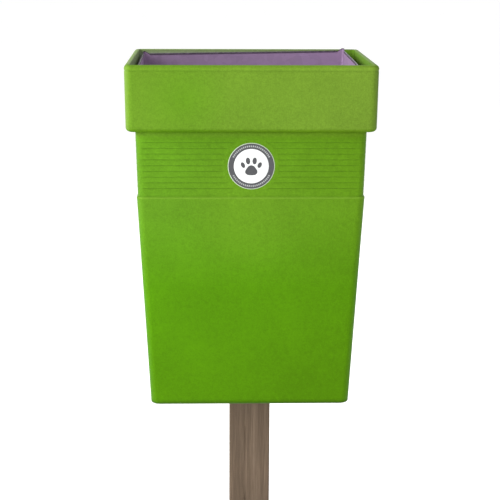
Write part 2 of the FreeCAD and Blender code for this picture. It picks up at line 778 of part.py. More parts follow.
def main():
    save(make_post(), "timber_post")
    for name, drop in zip(BRACKET_NAMES, BRACKET_DROPS):
        save(make_bracket(drop), name + "_post_bracket")
        save(make_strap(drop), name + "_backing_strap")
    save(make_coach_screws(), "coach_screws")
    save(make_screw_washers(), "coach_screw_washers")
    save(make_bolts(), "shell_bolts")
    save(make_bolt_washers(), "shell_bolt_washers")
    save(make_nuts(), "shell_bolt_nuts")
    save(make_shell(), "shell")
    save(make_label_disc(), "label_disc")
    save(make_label_print(), "label_print")
    save(make_liner_wrap(), "liner_wrap")
    save(make_liner_base(), "liner_base")
    save(make_liner_rivets(), "liner_rivets")
    save(make_clip_rivets(), "handle_clip_rivets")
    for name, side in (("left", -1), ("right", 1)):
        save(make_clip(side), name + "_handle_clip")
        save(make_handle(side), name + "_handle")


main()
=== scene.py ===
import json
import math

import bmesh
import bpy
from mathutils import Matrix, Vector, noise


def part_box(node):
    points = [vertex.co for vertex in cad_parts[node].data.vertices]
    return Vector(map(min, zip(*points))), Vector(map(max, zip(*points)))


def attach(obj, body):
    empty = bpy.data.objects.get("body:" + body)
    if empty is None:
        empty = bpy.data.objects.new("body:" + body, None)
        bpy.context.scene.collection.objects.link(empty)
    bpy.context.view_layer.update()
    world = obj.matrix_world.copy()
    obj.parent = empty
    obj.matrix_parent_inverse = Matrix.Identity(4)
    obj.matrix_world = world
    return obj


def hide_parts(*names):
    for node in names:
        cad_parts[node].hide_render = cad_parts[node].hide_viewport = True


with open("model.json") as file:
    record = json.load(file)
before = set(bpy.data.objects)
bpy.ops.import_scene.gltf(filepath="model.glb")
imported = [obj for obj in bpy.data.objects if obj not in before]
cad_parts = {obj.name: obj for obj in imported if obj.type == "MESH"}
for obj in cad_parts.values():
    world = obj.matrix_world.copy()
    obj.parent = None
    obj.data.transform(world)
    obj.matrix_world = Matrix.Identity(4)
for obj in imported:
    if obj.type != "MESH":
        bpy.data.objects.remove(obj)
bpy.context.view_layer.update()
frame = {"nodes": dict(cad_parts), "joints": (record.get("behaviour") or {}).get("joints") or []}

MM = 0.001

# ---- places read from the frame ----
SHELL_LOW, SHELL_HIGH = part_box("shell")
BIN_X = (SHELL_LOW.x + SHELL_HIGH.x) / 2
BACK_Y = SHELL_HIGH.y
RIM_Z = SHELL_HIGH.z
BASE_Z = SHELL_LOW.z
RIM_ROUND = 5.5 * MM
COLLAR_DRAFT = 0.7
COLLAR_W = SHELL_HIGH.x - SHELL_LOW.x + 2 * RIM_ROUND * math.tan(math.radians(COLLAR_DRAFT))
COLLAR_D = SHELL_HIGH.y - SHELL_LOW.y + RIM_ROUND * math.tan(math.radians(COLLAR_DRAFT))
BIN_HEIGHT = RIM_Z - BASE_Z
FRONT_Y = BACK_Y - COLLAR_D

# ---- shell, in the same proportions as its CAD node ----
COLLAR_H = 105.6 * MM
COLLAR_WALL = 9.0 * MM
COLLAR_R_FRONT = 13.0 * MM
COLLAR_R_BACK = 10.0 * MM
RIM_BACK_ROUND = 3.0 * MM
RIM_INNER_ROUND = 1.5 * MM
COLLAR_FOOT_ROUND = 7.5 * MM
RIM_GROOVE_DROP = 9.3 * MM
RIM_GROOVE_W = 3.4 * MM
RIM_GROOVE_IN = 0.5 * MM
OVERHANG = 15.6 * MM
BAND_DRAFT = 1.4
BODY_R_FRONT = 12.0 * MM
BODY_R_BACK = 9.0 * MM
LAP_FIRST = 122.9 * MM
LAP_PITCH = 9.3 * MM
LAP_COUNT = 9
LAP_OUT = 0.7 * MM
GROOVE_IN = 0.24 * MM
LIP_PROFILE = (
    # past the lip's edge, how far out
    (-1.5 * MM, LAP_OUT * 0.97), (-0.8 * MM, LAP_OUT), (-0.25 * MM, LAP_OUT * 0.75), (0.0, LAP_OUT * 0.1),
    (0.15 * MM, -GROOVE_IN * 0.8), (0.55 * MM, -GROOVE_IN), (0.95 * MM, -GROOVE_IN * 0.45),
)
SIDE_LAPS = 0.6                # the laps are shallower on the sides
CORNER_LAPS = 0.25             # and nearly gone round the front corners
STEP_TOP = 210.9 * MM
STEP_OUT = 1.8 * MM
BODY_DRAFT = 2.95
BODY_WALL = 5.0 * MM
BACK_WALL = 6.0 * MM
FLOOR_T = 5.0 * MM
BASE_ROUND = 5.0 * MM
LABEL_DROP = 161.1 * MM
LABEL_PAD_R = 46.5 * MM
LABEL_PAD_FADE = 1.6 * MM
WAVE = 0.30 * MM
FRONT_COLUMNS_FINE = 56
FRONT_COLUMNS_WIDE = 18
SIDE_COLUMNS = 34
COLLAR_ROWS = 12
BODY_ROWS = 28
CORNER_FRONT = 12
CORNER_BACK = 7
ROUND_STEPS = (15, 30, 45, 60, 75, 90)     # degrees round an outer edge

# ---- floor pads, drains and bolt holes ----
PAD_SIDE = 40.0 * MM
PAD_H = 4.0 * MM
PAD_INSET = 30.0 * MM
PAD_R = 3.0 * MM
DRAIN_R = 6.0 * MM
DRAIN_X = 90.0 * MM
DRAIN_Y = 70.0 * MM
CUP_HEAD_R = 10.0 * MM
BOLT_HOLE_R = 4.5 * MM
OVERCUT = 2.0 * MM             # how far a cutting cylinder runs past the wall

# ---- liner ----
SHEET = 1.0 * MM
LINER_TOP = 7.0 * MM
LINER_HALF_W = 178.0 * MM
LINER_X = BIN_X - 6.0 * MM
LINER_DEPTH = 279.0 * MM
LINER_BACK_Y = BACK_Y - BACK_WALL - 12.0 * MM
LINER_DRAFT = 3.3
LINER_R = 4.0 * MM
LINER_TOP_Z = RIM_Z - LINER_TOP
LINER_BASE_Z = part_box("liner_base")[0].z
HEM_H = 13.0 * MM
HEM_R = 1.3 * MM
TIP_RISE = 5.0 * MM
TIP_RUN = 8.5 * MM
PANEL_WAVE = 0.9 * MM
EDGE_BAND = 1.4 * MM
EDGE_LIFT = 2.0 * MM          # the hand-folded top edge runs a little off level
EDGE_ROLL = 3.0 * MM
EDGE_PITCH = 5.0 * MM
EDGE_REACH = 70.0 * MM
HEM_LEG = 1.3 * MM            # from the sheet's face to the outside of the folded leg
HEM_STEPS = 40
LINER_COLUMNS = 40
LINER_SIDES = 32
LINER_ROWS = 30

# ---- wire handles ----
HANDLE_HALF_W = 46.0 * MM
HANDLE_DROP = 66.0 * MM
HANDLE_BEND = 9.0 * MM
BEND_STEPS = 8
WIRE_SIDES = 20

# ---- post ----
POST_ARRIS = 2.2 * MM
POST_BEVEL = 7.0 * MM
POST_COLUMNS = 26
POST_STEP = 5.0 * MM
CHECKS = (
    # face direction, offset across the face, lowest z, highest z, depth
    ((0, -1), 9.0 * MM, 0.06, 0.46, 2.2 * MM),
    ((0, 1), -7.0 * MM, 0.30, 1.02, 3.0 * MM),
    ((0, 1), 15.0 * MM, 0.05, 0.34, 2.0 * MM),
    ((1, 0), 4.0 * MM, 0.18, 0.62, 2.4 * MM),
    ((-1, 0), -6.0 * MM, 0.44, 0.98, 2.6 * MM),
)
CHECK_FADE = 0.08              # metres along the grain in which a check dies out
END_CHECKS = (0.4, 2.3, -1.9)  # directions of the splits in the end grain, in radians

# ---- label ----
LABEL_R = 37.5 * MM
LABEL_T = 0.5 * MM
PRINT_T = 0.15 * MM
RING_OUT_R = 36.5 * MM
RING_IN_R = 27.9 * MM
HEEL_R = 8.5 * MM
HEEL_DROP = 7.4 * MM
TOES = (
    # to the side, up, half width, half height, lean in degrees
    (5.3 * MM, 8.5 * MM, 3.5 * MM, 5.5 * MM, -6),
    (13.4 * MM, 1.8 * MM, 3.1 * MM, 4.9 * MM, -26),
)
DASHES = 11                    # each side of the middle of an arc
DASH_PITCH = 5.6               # degrees
DASH_HALF = 1.7
DASH_HALF_H = 1.3 * MM
DASH_T = 0.06 * MM

# ---- camera ----
CAMERA_RIGHT = -61.7 * MM     # from the bin's middle plane
CAMERA_BACK = 2100.0 * MM     # from the front of the rim
CAMERA_UP = 194.0 * MM        # above the rim
CAMERA_PITCH = 13.09
CAMERA_YAW = 1.630
CAMERA_ROLL = 0.25
CAMERA_LENS = 96.8

FLOOR_RADII = (0.4, 3.0, 30.0)


# ======== helpers ========

def slope(angle, run):
    return run * math.tan(math.radians(angle))


def smooth_step(edge0, edge1, value):
    t = min(max((value - edge0) / (edge1 - edge0), 0.0), 1.0)
    return t * t * (3.0 - 2.0 * t)


def new_object(name, verts, faces, material, sharp_angle=40.0):
    mesh = bpy.data.meshes.new(name)
    mesh.from_pydata([tuple(v) for v in verts], [], faces)
    mesh.validate()
    obj = bpy.data.objects.new(name, mesh)
    bpy.context.scene.collection.objects.link(obj)
    finish_mesh(obj, material, sharp_angle)
    return obj


def finish_mesh(obj, material, sharp_angle):
    mesh = obj.data
    bm = bmesh.new()
    bm.from_mesh(mesh)
    bmesh.ops.recalc_face_normals(bm, faces=bm.faces)
    bm.to_mesh(mesh)
    bm.free()
    mesh.materials.clear()
    mesh.materials.append(material)
    for polygon in mesh.polygons:
        polygon.use_smooth = True
    mesh.set_sharp_from_angle(angle=math.radians(sharp_angle))


def bridge(rings, cap_start=False, cap_end=False, loop=False):
    """Quads between rings of equally many points; a loop also joins the last ring to the first."""
    count = len(rings[0])
    starts = [row * count for row in range(len(rings))]
    pairs = list(zip(starts, starts[1:]))
    if loop:
        pairs.append((starts[-1], 0))
    faces = []
    for a, b in pairs:
        for i in range(count):
            j = (i + 1) % count
            faces.append((a + i, a + j, b + j, b + i))
    if cap_start:
        faces.append(tuple(range(count))[::-1])
    if cap_end:
        faces.append(tuple(starts[-1] + i for i in range(count)))
    return faces


def flatten(rings):
    return [point for ring in rings for point in ring]


def cut_away(obj, tools, material, sharp_angle):
    """Exact boolean difference, applied to the mesh; the tools are removed."""
    for tool in tools:
        modifier = obj.modifiers.new("cut", "BOOLEAN")
        modifier.operation = "DIFFERENCE"
        modifier.solver = "EXACT"
        modifier.object = tool
    graph = bpy.context.evaluated_depsgraph_get()
    mesh = bpy.data.meshes.new_from_object(obj.evaluated_get(graph))
    obj.modifiers.clear()
    old = obj.data
    obj.data = mesh
    bpy.data.meshes.remove(old)
    for tool in tools:
        bpy.data.meshes.remove(tool.data)
    finish_mesh(obj, material, sharp_angle)


def cylinder_tool(radius, base, axis, length, sides=32):
    axis = Vector(axis).normalized()
    turn = axis.to_track_quat("Z", "Y")
    rings = []
    for h in (0.0, length):
        ring = []
        for i in range(sides):
            a = 2 * math.pi * i / sides
            ring.append(Vector(base) + turn @ Vector((radius * math.cos(a), radius * math.sin(a), h)))
        rings.append(ring)
    mesh = bpy.data.meshes.new("tool")
    mesh.from_pydata([tuple(v) for v in flatten(rings)], [], bridge(rings, True, True))
    tool = bpy.data.objects.new("tool", mesh)
    bpy.context.scene.collection.objects.link(tool)
    return tool


# ======== materials ========

def new_material(name):
    """An empty principled material, with its object coordinates."""
    material = bpy.data.materials.new(name)
    material.use_nodes = True
    tree = material.node_tree
    tree.nodes.clear()
    output, shader = node(tree, "OutputMaterial"), node(tree, "BsdfPrincipled")
    tree.links.new(shader.outputs["BSDF"], output.inputs["Surface"])
    return material, tree, shader, object_coords(tree)


def node(tree, kind, values=None, **settings):
    made = tree.nodes.new("ShaderNode" + kind)
    for key, value in settings.items():
        setattr(made, key, value)
    for key, value in (values or {}).items():
        made.inputs[key].default_value = value
    return made


def object_coords(tree, scale=(1, 1, 1)):
    coords = node(tree, "TexCoord")
    mapping = node(tree, "Mapping", {"Scale": scale})
    tree.links.new(coords.outputs["Object"], mapping.inputs["Vector"])
    return mapping.outputs["Vector"]


def noise_tex(tree, vector, scale, detail=4.0, rough=0.55):
    tex = node(tree, "TexNoise", {"Scale": scale, "Detail": detail, "Roughness": rough})
    tree.links.new(vector, tex.inputs["Vector"])
    return tex.outputs["Fac"]


def ramp(tree, factor, stops):
    made = node(tree, "ValToRGB")
    elements = made.color_ramp.elements
    while len(elements) < len(stops):
        elements.new(0.5)
    for element, (position, colour) in zip(elements, stops):
        element.position = position
        element.color = (*colour, 1.0)
    tree.links.new(factor, made.inputs["Fac"])
    return made.outputs["Color"]


def grey(value):
    return (value, value, value)


def remap(tree, value, low, high, new_low, new_high):
    made = node(tree, "MapRange", {"From Min": low, "From Max": high, "To Min": new_low, "To Max": new_high})
    made.clamp = True
    tree.links.new(value, made.inputs["Value"])
    return made.outputs["Result"]


def mix_colour(tree, factor, a, b):
    made = node(tree, "Mix", data_type="RGBA")
    for socket, value in ((made.inputs["Factor"], factor), (made.inputs["A"], a), (made.inputs["B"], b)):
        if isinstance(value, (int, float)):
            socket.default_value = value
        elif isinstance(value, tuple):
            socket.default_value = (*value, 1.0)
        else:
            tree.links.new(value, socket)
    return made.outputs["Result"]


def scaled_colour(tree, colour, factor):
    made = node(tree, "VectorMath", operation="SCALE")
    tree.links.new(colour, made.inputs[0])
    tree.links.new(factor, made.inputs["Scale"])
    return made.outputs["Vector"]


def scaled_tone(tree, colour, factors):
    """A colour multiplied by one fixed factor per channel."""
    made = node(tree, "VectorMath", operation="MULTIPLY")
    tree.links.new(colour, made.inputs[0])
    made.inputs[1].default_value = factors
    return made.outputs["Vector"]


def distance_to(tree, vector, place):
    made = node(tree, "VectorMath", operation="DISTANCE")
    tree.links.new(vector, made.inputs[0])
    made.inputs[1].default_value = place
    return made.outputs["Value"]


def near_point(tree, vector, place, reach):
    """1 at a point, falling to 0 at the given distance."""
    return remap(tree, distance_to(tree, vector, place), 0.0, reach, 1.0, 0.0)


def apart(tree, value, middle):
    """How far a value lies from a fixed one, on either side."""
    return maths(tree, "ABSOLUTE", maths(tree, "SUBTRACT", value, middle))


def mottle(tree, vector, scale, detail, rough, spread, low, high):
    """Noise turned into a factor between low and high; a small spread has hard-edged patches."""
    return remap(tree, noise_tex(tree, vector, scale, detail, rough), 0.5 - spread, 0.5 + spread, low, high)


def stripe(tree, colour, drop, middle, half, gain):
    """A level line on the wall, its colour scaled by a gain per channel, fading out half a width away."""
    fade = remap(tree, apart(tree, drop, middle), 0.0, half, 1.0, 0.0)
    return mix_colour(tree, fade, colour, scaled_tone(tree, colour, gain))


def maths(tree, operation, a, b=None):
    made = node(tree, "Math", operation=operation)
    for socket, value in zip(made.inputs, (a, b)):
        if value is None:
            continue
        if isinstance(value, (int, float)):
            socket.default_value = value
        else:
            tree.links.new(value, socket)
    return made.outputs["Value"]


def axis_value(tree, vector, axis):
    split = node(tree, "SeparateXYZ")
    tree.links.new(vector, split.inputs["Vector"])
    return split.outputs[axis]


def bump(tree, shader, height, distance, strength, base=None):
    made = node(tree, "Bump", {"Distance": distance, "Strength": strength})
    tree.links.new(height, made.inputs["Height"])
    if base is not None:
        tree.links.new(base, made.inputs["Normal"])
    tree.links.new(made.outputs["Normal"], shader.inputs["Normal"])
    return made.outputs["Normal"]


def coat(tree, shader, colour, rough, specular=None, tint=None):
    """Colour, roughness and highlight; a roughness given as a tuple is a noise and the range it spans."""
    if isinstance(rough, tuple):
        value, low, high = rough
        rough = remap(tree, value, 0.3, 0.7, low, high)
    tree.links.new(colour, shader.inputs["Base Color"])
    tree.links.new(rough, shader.inputs["Roughness"])
    if specular is not None:
        shader.inputs["Specular IOR Level"].default_value = specular
    if tint is not None:
        shader.inputs["Specular Tint"].default_value = (*tint, 1.0)


def crystals(tree, vector, scale):
    """Zinc crystals, each with a random red, green and blue."""
    cells = node(tree, "TexVoronoi", {"Scale": scale, "Randomness": 1.0})
    tree.links.new(vector, cells.inputs["Vector"])
    facet = node(tree, "SeparateColor")
    tree.links.new(cells.outputs["Color"], facet.inputs["Color"])
    return facet.outputs


def shell_tone(tree, here, across, on_collar):
    """Colour down the shell, lighter towards the top and painted shade along the base edge, tinted from side
    to side, with a painted sheen patch, a fresh patch and specks.
    """
    height = remap(tree, axis_value(tree, here, "Z"), BASE_Z, RIM_Z, 0.0, 1.0)
    step_at = 1.0 - STEP_TOP / BIN_HEIGHT
    collar_at = 1.0 - COLLAR_H / BIN_HEIGHT
    tone = ramp(tree, height, [
        # The lowest stops, up to about 9 mm, are painted shade along the rounded base edge; above them the
        # colour grows lighter towards the step.
        (0.000, (0.022, 0.066, 0.0010)),
        (0.008, (0.033, 0.098, 0.0010)),
        (0.016, (0.053, 0.162, 0.0006)),
        (0.36, (0.059, 0.187, 0.0014)),
        (step_at - 0.02, (0.082, 0.203, 0.0078)),
        (step_at, (0.079, 0.200, 0.0070)),
        (collar_at - 0.02, (0.077, 0.198, 0.0064)),
        (collar_at, (0.101, 0.204, 0.0145)),
        (1.00, (0.104, 0.207, 0.0150)),
    ])
    left_body = scaled_tone(tree, tone, (1.03, 1.02, 1.40))
    left_collar = scaled_tone(tree, tone, (0.94, 0.98, 0.88))
    right_body = scaled_tone(tree, tone, (0.94, 0.86, 0.86))
    right_collar = scaled_tone(tree, tone, (1.08, 0.94, 1.30))
    left = mix_colour(tree, on_collar, left_body, left_collar)
    right = mix_colour(tree, on_collar, right_body, right_collar)
    colour = mix_colour(tree, across, left, right)
    # Painted sheen: a paler, greyer patch high on the front of the lower body.
    zinc_haze_and_painted_sheen = near_point(tree, here, (BIN_X, FRONT_Y, RIM_Z - 0.225), 0.11)
    colour = mix_colour(tree, maths(tree, "MULTIPLY", zinc_haze_and_painted_sheen, 0.7), colour, (0.092, 0.200, 0.0100))
    fresh = near_point(tree, here, (BIN_X - 0.105, FRONT_Y, RIM_Z - 0.055), 0.075)
    colour = mix_colour(tree, maths(tree, "MULTIPLY", fresh, 0.8), colour, (0.082, 0.200, 0.0080))
    colour = scaled_colour(tree, colour, mottle(tree, here, 11.0, 5.0, 0.6, 0.15, 0.94, 1.06))
    colour = scaled_colour(tree, colour, mottle(tree, here, 150.0, 3.0, 0.6, 0.2, 0.92, 1.08))
    return scaled_colour(tree, colour, mottle(tree, here, 420.0, 2.0, 0.5, 0.2, 0.90, 1.10))


def shell_lines(tree, colour, here, drop):
    """Painted level lines: a highlight on the rim, shade in the rim groove, the collar's shadow, light below
    it, shade above the step, and painted shade and highlights on the laps.
    """
    for middle, half, gain in (
        (RIM_ROUND, 3.0 * MM, grey(1.11)),
        (RIM_GROOVE_DROP, 2.0 * MM, grey(0.92)),
        (COLLAR_H - 1 * MM, 6.0 * MM, (0.60, 0.73, 0.12)),
        (COLLAR_H + 6 * MM, 12.0 * MM, (1.08, 1.07, 0.90)),
        (STEP_TOP - 2.0 * MM, 3.0 * MM, grey(0.98)),
    ):
        colour = stripe(tree, colour, drop, middle, half, gain)
    return band_grooves(tree, colour, here, drop)


def shell_wear_and_painted_light(tree, colour, here, drop, across, on_collar):
    """A painted highlight on the collar's left corner, painted shade along the right corners, chalky paling
    with a painted highlight on the rim behind the front, and a painted highlight on the step.
    """
    x = axis_value(tree, here, "X")
    left_edge, right_edge = BIN_X - COLLAR_W / 2, BIN_X + COLLAR_W / 2
    # Painted highlight: the collar's left corner is paled where the light from the left catches it.
    at_left = remap(tree, x, left_edge, left_edge + 9 * MM, 0.8, 0.0)
    left_corner_highlight = maths(tree, "MULTIPLY", at_left, on_collar)
    colour = mix_colour(tree, left_corner_highlight, colour, (0.160, 0.265, 0.045))
    # Painted shade: the shell darkens towards its right corners.
    colour = scaled_colour(tree, colour, remap(tree, x, right_edge - 10 * MM, right_edge - 2 * MM, 1.0, 0.80))
    behind = remap(tree, axis_value(tree, here, "Y"), FRONT_Y + 14 * MM, FRONT_Y + 40 * MM, 0.0, 1.0)
    rim_top = maths(tree, "MULTIPLY", remap(tree, drop, 0.6 * MM, 2.6 * MM, 1.0, 0.0), behind)
    patchy = mottle(tree, here, 55.0, 5.0, 0.65, 0.15, 0.45, 0.85)
    # The rim top behind the front is paled: partly chalking of the plastic, partly a painted highlight,
    # lighter on the left than on the right.
    chalk_and_highlight = mix_colour(tree, across, (0.200, 0.250, 0.125), (0.125, 0.185, 0.065))
    colour = mix_colour(tree, maths(tree, "MULTIPLY", rim_top, patchy), colour, chalk_and_highlight)
    # Painted highlight: a paler line along the step's ledge, where light falls from above.
    step_highlight = remap(tree, apart(tree, drop, STEP_TOP + 1.9 * MM), 0.5 * MM, 2.5 * MM, 0.38, 0.0)
    return mix_colour(tree, step_highlight, colour, (0.155, 0.275, 0.030))


def shell_plastic():
    """Lime green moulded polyethylene: pebbled skin, cloudy pigment, paler and yellower towards the top, with
    painted light and shade along its lines and corners.
    """
    material, tree, shader, here = new_material("shell_plastic")
    drop = maths(tree, "SUBTRACT", RIM_Z, axis_value(tree, here, "Z"))
    across = remap(tree, axis_value(tree, here, "X"), BIN_X - COLLAR_W / 2, BIN_X + COLLAR_W / 2, 0.0, 1.0)
    on_collar = remap(tree, drop, COLLAR_H - 2 * MM, COLLAR_H + 2 * MM, 1.0, 0.0)
    colour = shell_tone(tree, here, across, on_collar)
    colour = shell_lines(tree, colour, here, drop)
    colour = shell_wear_and_painted_light(tree, colour, here, drop, across, on_collar)
    rough = mottle(tree, here, 22.0, 6.0, 0.65, 0.2, 0.44, 0.58)
    foot = remap(tree, apart(tree, drop, COLLAR_H - 2 * MM), 3 * MM, 7 * MM, 0.95, 0.0)
    rim = remap(tree, drop, 2 * MM, 6 * MM, 0.90, 0.0)
    dull = maths(tree, "MAXIMUM", maths(tree, "MAXIMUM", rough, foot), rim)
    coat(tree, shader, colour, dull, 0.20, (0.50, 0.85, 0.12))
    pebble = noise_tex(tree, here, 620.0, 3.0, 0.5)
    first = bump(tree, shader, pebble, 0.00022, 0.55)
    scuff = noise_tex(tree, object_coords(tree, (1.0, 1.0, 0.25)), 60.0, 6.0, 0.7)
    bump(tree, shader, scuff, 0.0003, 0.25, first)
    return material


def band_grooves(tree, colour, here, drop):
    """Painted shade along each groove of the band and a painted highlight on the lip above it, clear of the
    label's pad.
    """
    place = maths(tree, "DIVIDE", maths(tree, "SUBTRACT", drop, LAP_FIRST), LAP_PITCH)
    turn = maths(tree, "FRACT", maths(tree, "ADD", place, 0.5))
    # Painted shade in each groove and a painted highlight on the lip above it.
    groove_shade = remap(tree, apart(tree, turn, 0.55), 0.02, 0.15, 1.0, 0.0)
    lip = remap(tree, apart(tree, turn, 0.36), 0.02, 0.15, 1.0, 0.0)
    last = LAP_FIRST + (LAP_COUNT - 1) * LAP_PITCH
    above = remap(tree, drop, LAP_FIRST - 3 * MM, LAP_FIRST - 2 * MM, 0.0, 1.0)
    below = remap(tree, drop, last + 2 * MM, last + 3 * MM, 1.0, 0.0)
    away = distance_to(tree, here, label_seat()[0])
    clear = remap(tree, away, LABEL_PAD_R - 2 * MM, LABEL_PAD_R + 2 * MM, 0.0, 1.0)
    where = maths(tree, "MULTIPLY", maths(tree, "MULTIPLY", above, below), clear)
    darker = remap(tree, maths(tree, "MULTIPLY", groove_shade, where), 0.0, 1.0, 1.0, 0.915)
    lighter = remap(tree, maths(tree, "MULTIPLY", lip, where), 0.0, 1.0, 1.0, 1.035)
    return scaled_colour(tree, scaled_colour(tree, colour, darker), lighter)


def shell_inside():
    """The same plastic on the inner faces, dull with dust and dried splashes; near the top of every inner
    wall but the lit right one, a pale film is partly dust and partly painted light.
    """
    material, tree, shader, here = new_material("shell_inside")
    grime = noise_tex(tree, here, 26.0, 6.0, 0.7)
    tone = ramp(tree, grime, [
        (0.35, (0.098, 0.145, 0.044)),
        (0.50, (0.090, 0.165, 0.026)),
        (0.68, (0.072, 0.165, 0.010)),
    ])
    x = axis_value(tree, here, "X")
    z = axis_value(tree, here, "Z")
    depth = remap(tree, z, RIM_Z - 0.12, RIM_Z, 0.0, 0.6)
    # Pale films near the top of the walls: partly dust, partly painted bounce light on walls in shade and a
    # painted highlight along the top of the back wall.
    side_dust_and_light = mix_colour(tree, remap(tree, z, RIM_Z - 0.045, RIM_Z - 0.01, 0.0, 1.0),
                           (0.22, 0.25, 0.15), (0.135, 0.190, 0.065))
    back_dust_and_light = mix_colour(tree, remap(tree, z, RIM_Z - 0.009, RIM_Z - 0.003, 0.0, 1.0),
                           (0.33, 0.34, 0.31), (0.20, 0.235, 0.130))
    at_back = remap(tree, axis_value(tree, here, "Y"), BACK_Y - 20 * MM, BACK_Y - 12 * MM, 0.0, 1.0)
    dust = mix_colour(tree, at_back, side_dust_and_light, back_dust_and_light)
    # The lit right wall takes no film and keeps its clean green.
    off_lit_right_wall = remap(tree, x, BIN_X + 0.150, BIN_X + 0.176, 1.0, 0.0)
    dust_and_painted_light = mix_colour(tree, maths(tree, "MULTIPLY", depth, off_lit_right_wall), tone, dust)
    clean = (0.105, 0.225, 0.012)
    dust_and_painted_light = mix_colour(tree, off_lit_right_wall, clean, dust_and_painted_light)
    fine = mottle(tree, here, 300.0, 3.0, 0.6, 0.2, 0.88, 1.12)
    coat(tree, shader, scaled_colour(tree, dust_and_painted_light, fine), (grime, 0.6, 0.8), 0.15)
    bump(tree, shader, grime, 0.0004, 0.4)
    return material


def liner_zinc():
    """Galvanised sheet with a mauve cast: spangle crystals and rolling hazy patches, with painted shade
    deeper down and painted light towards the right and on the left panel.
    """
    material, tree, shader, here = new_material("liner_zinc")
    wobble = scaled_tone(tree, noise_tex(tree, here, 40.0, 3.0, 0.6), grey(0.012))
    shifted = node(tree, "VectorMath", operation="ADD")
    tree.links.new(here, shifted.inputs[0])
    tree.links.new(wobble, shifted.inputs[1])
    facet = crystals(tree, shifted.outputs["Vector"], 95.0)
    tone = ramp(tree, facet["Red"], [
        (0.0, (0.215, 0.149, 0.243)),
        (0.5, (0.230, 0.159, 0.259)),
        (1.0, (0.246, 0.169, 0.280)),
    ])
    # The zinc's own rolling hazy patches, no painted light.
    zinc_haze_and_painted_sheen = mottle(tree, here, 14.0, 5.0, 0.6, 0.15, 0.0, 0.35)
    hazed = mix_colour(tree, zinc_haze_and_painted_sheen, tone, (0.245, 0.166, 0.252))
    # Painted shade: the sheet darkens deeper down inside the liner.
    top = remap(tree, axis_value(tree, here, "Z"), LINER_TOP_Z - 0.25, LINER_TOP_Z - 0.03, 0.45, 0.0)
    dust_and_painted_light = mix_colour(tree, top, hazed, (0.14, 0.105, 0.15))
    x = axis_value(tree, here, "X")
    # Painted light: brighter towards the right, and the shaded left panel lightened.
    across = remap(tree, x, LINER_X - 0.17, LINER_X + 0.17, 0.98, 1.30)
    left_panel_painted_light = remap(tree, x, LINER_X - 0.178, LINER_X - 0.150, 1.5, 1.0)
    lit = scaled_colour(tree, scaled_colour(tree, dust_and_painted_light, across), left_panel_painted_light)
    rough = remap(tree, facet["Green"], 0.0, 1.0, 0.56, 0.70)
    coat(tree, shader, lit, rough, 0.15, (0.45, 0.34, 0.48))
    shader.inputs["Metallic"].default_value = 0.30
    first = bump(tree, shader, facet["Blue"], 0.00012, 0.5)
    grain = noise_tex(tree, here, 300.0, 3.0, 0.6)
    bump(tree, shader, grain, 0.0001, 0.4, first)
    return material


def liner_edge():
    """The folded edge of the same sheet, coloured dark as painted shade along the liner's top edge, and
    darker still as painted shade on the left panel.
    """
    material, tree, shader, here = new_material("liner_edge")
    blotch = noise_tex(tree, here, 160.0, 5.0, 0.65)
    tone = ramp(tree, blotch, [(0.35, (0.050, 0.038, 0.054)), (0.7, (0.105, 0.081, 0.112))])
    shaded = remap(tree, axis_value(tree, here, "X"), LINER_X - 0.176, LINER_X - 0.168, 0.5, 1.0)
    coat(tree, shader, scaled_colour(tree, tone, shaded), (blotch, 0.5, 0.7), 0.08)
    bump(tree, shader, blotch, 0.0002, 0.5)
    return material


def galvanised(name, light, dark, scale, rough_low, rough_high):
    """Zinc coating with soft crystal patches and dull streaks."""
    material, tree, shader, here = new_material(name)
    facet = crystals(tree, here, scale)
    patch = noise_tex(tree, here, scale / 3.0, 5.0, 0.65)
    blend = maths(tree, "MULTIPLY", facet["Red"], patch)
    coat(tree, shader, ramp(tree, blend, [(0.1, dark), (0.6, light)]), (patch, rough_low, rough_high))
    shader.inputs["Metallic"].default_value = 0.85
    bump(tree, shader, patch, 0.0003, 0.35)
    return material


def label_vinyl():
    """White printed vinyl, slightly yellowed and dusty, with a faint orange peel."""
    material, tree, shader, here = new_material("label_vinyl")
    dust = noise_tex(tree, here, 130.0, 5.0, 0.6)
    tone = ramp(tree, dust, [(0.35, (0.62, 0.635, 0.63)), (0.65, (0.70, 0.71, 0.70))])
    away = distance_to(tree, here, label_seat()[0])
    rim = remap(tree, away, RING_OUT_R - 0.4 * MM, RING_OUT_R + 0.4 * MM, 0.0, 0.85)
    coat(tree, shader, mix_colour(tree, rim, tone, (0.36, 0.44, 0.28)), (dust, 0.28, 0.42))
    bump(tree, shader, noise_tex(tree, here, 900.0, 2.0, 0.5), 0.00005, 0.4)
    return material


def label_ink(name, dark, light):
    """Screen ink with faint unevenness."""
    material, tree, shader, here = new_material(name)
    patch = noise_tex(tree, here, 350.0, 4.0, 0.6)
    coat(tree, shader, ramp(tree, patch, [(0.35, dark), (0.7, light)]), (patch, 0.35, 0.5))
    bump(tree, shader, patch, 0.00004, 0.4)
    return material


